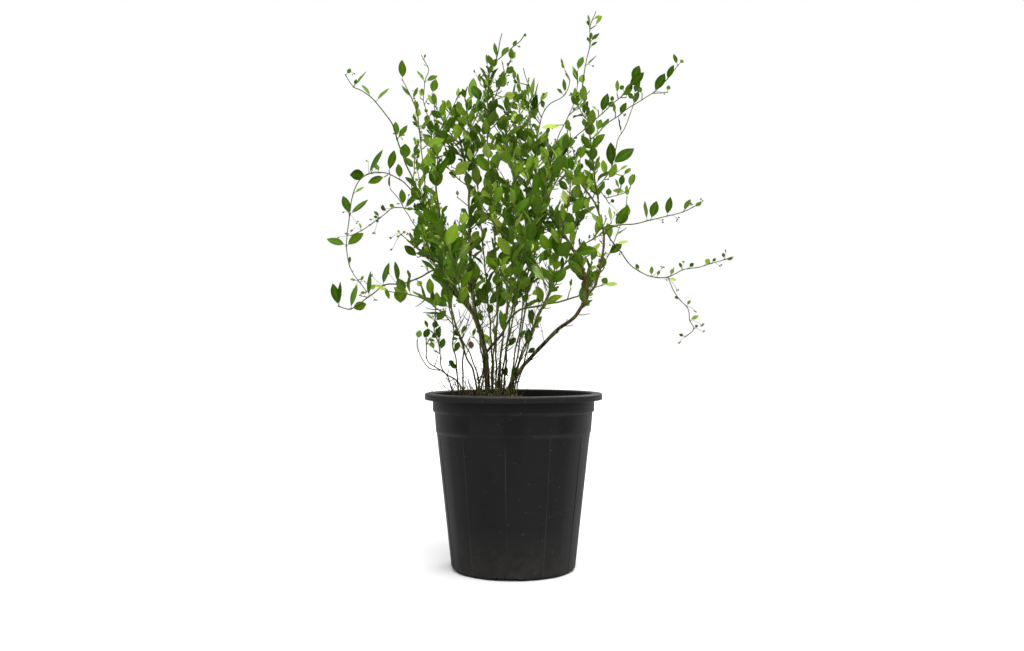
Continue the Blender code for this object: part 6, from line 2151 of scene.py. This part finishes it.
def build_camera():
    """The photograph's view: an eye in front of the pot, tilted up so that the horizon lies where it did."""
    data = bpy.data.cameras.new("camera")
    data.lens = LENS
    data.sensor_width = SENSOR
    camera = linked("camera", data)
    across = (VIEW_WIDTH / 2 - AXIS_ACROSS) * VIEW_UNIT
    camera.location = (across, -EYE_DISTANCE, EYE_HEIGHT)
    tilt = math.atan((HORIZON_DOWN - VIEW_HEIGHT / 2) * SENSOR / VIEW_WIDTH / LENS)
    camera.rotation_euler = (math.pi / 2 + tilt, 0, 0)
    bpy.context.scene.camera = camera


def build_world():
    """Soft light from all round, brighter from above, before a plain white ground."""
    world = bpy.data.worlds.new("studio")
    bpy.context.scene.world = world
    make = Nodes(world)
    way = make.node("ShaderNodeTexCoord").outputs["Generated"]
    height = make.node("ShaderNodeSeparateXYZ", {0: way}).outputs["Z"]
    light = make.tree.nodes["Background"]
    make.put(light.inputs["Color"], make.ramp(height, (0.03, LOW_LIGHT), (0.45, HIGH_LIGHT)))
    make.put(light.inputs["Strength"], WORLD_LIGHT)
    ground = make.node("ShaderNodeBackground", {"Color": (1, 1, 1, 1)})
    direct = make.node("ShaderNodeLightPath").outputs["Is Camera Ray"]
    both = make.node("ShaderNodeMixShader", {0: direct, 1: light.outputs[0], 2: ground.outputs[0]})
    make.put(make.tree.nodes["World Output"].inputs["Surface"], both.outputs[0])


def build_lights():
    """Large soft lamps, all high, so that the dark pot mirrors none of them at the camera."""
    for name, turn, height, softness, strength in SOFT_LAMPS:
        data = bpy.data.lights.new(name, "SUN")
        data.angle = math.radians(softness)
        data.energy = strength
        linked(name, data).rotation_euler = (math.radians(90 - height), 0, math.radians(turn))


def build_floor():
    """A plain round floor that reaches far behind the pot."""
    turns = [math.tau * step / FLOOR_CORNERS for step in range(FLOOR_CORNERS)]
    rim = [(FLOOR_REACH * math.cos(turn), FLOOR_REACH * math.sin(turn), 0) for turn in turns]
    mesh = bpy.data.meshes.new("floor")
    mesh.from_pydata(rim, [], [tuple(range(FLOOR_CORNERS))])
    mesh.materials.append(floor_surface())
    floor = linked("floor", mesh)


def place_piece(piece, slot, *nodes):
    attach(piece, "root")
    if nodes:
        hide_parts(*nodes)


def main():
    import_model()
    bpy.context.scene.view_settings.view_transform = "Standard"
    build_camera()
    build_world()
    build_lights()
    build_floor()
    place_piece(build_pot(), "pot", "pot")
    place_piece(build_soil(), "soil", "soil")
    place_piece(build_crumbs(), "soil")
    place_piece(build_litter(), "soil")
    surfaces = {
        "stem": stem_surface(),
        "leaf": leaf_surface(),
        "young": young_stem_surface(),
        "bud": bud_surface(),
    }
    place_piece(build_strands(surfaces["stem"]), "leafy_stem")
    branches, leaves = grown_plant()
    for node in dict.fromkeys(branch.node for branch in branches):
        own_branches = [branch for branch in branches if branch.node == node]
        own_leaves = [shown for shown in leaves if shown.leaf.branch.node == node]
        slot = "woody_stem" if node in WOODY_NODES else "leafy_stem"
        for piece in build_node(node, own_branches, own_leaves, surfaces):
            place_piece(piece, slot if piece.name.endswith("_wood") else "leafy_stem", node)
    print("SHOWN", len(branches), "stems and", len(leaves), "leaves")


main()
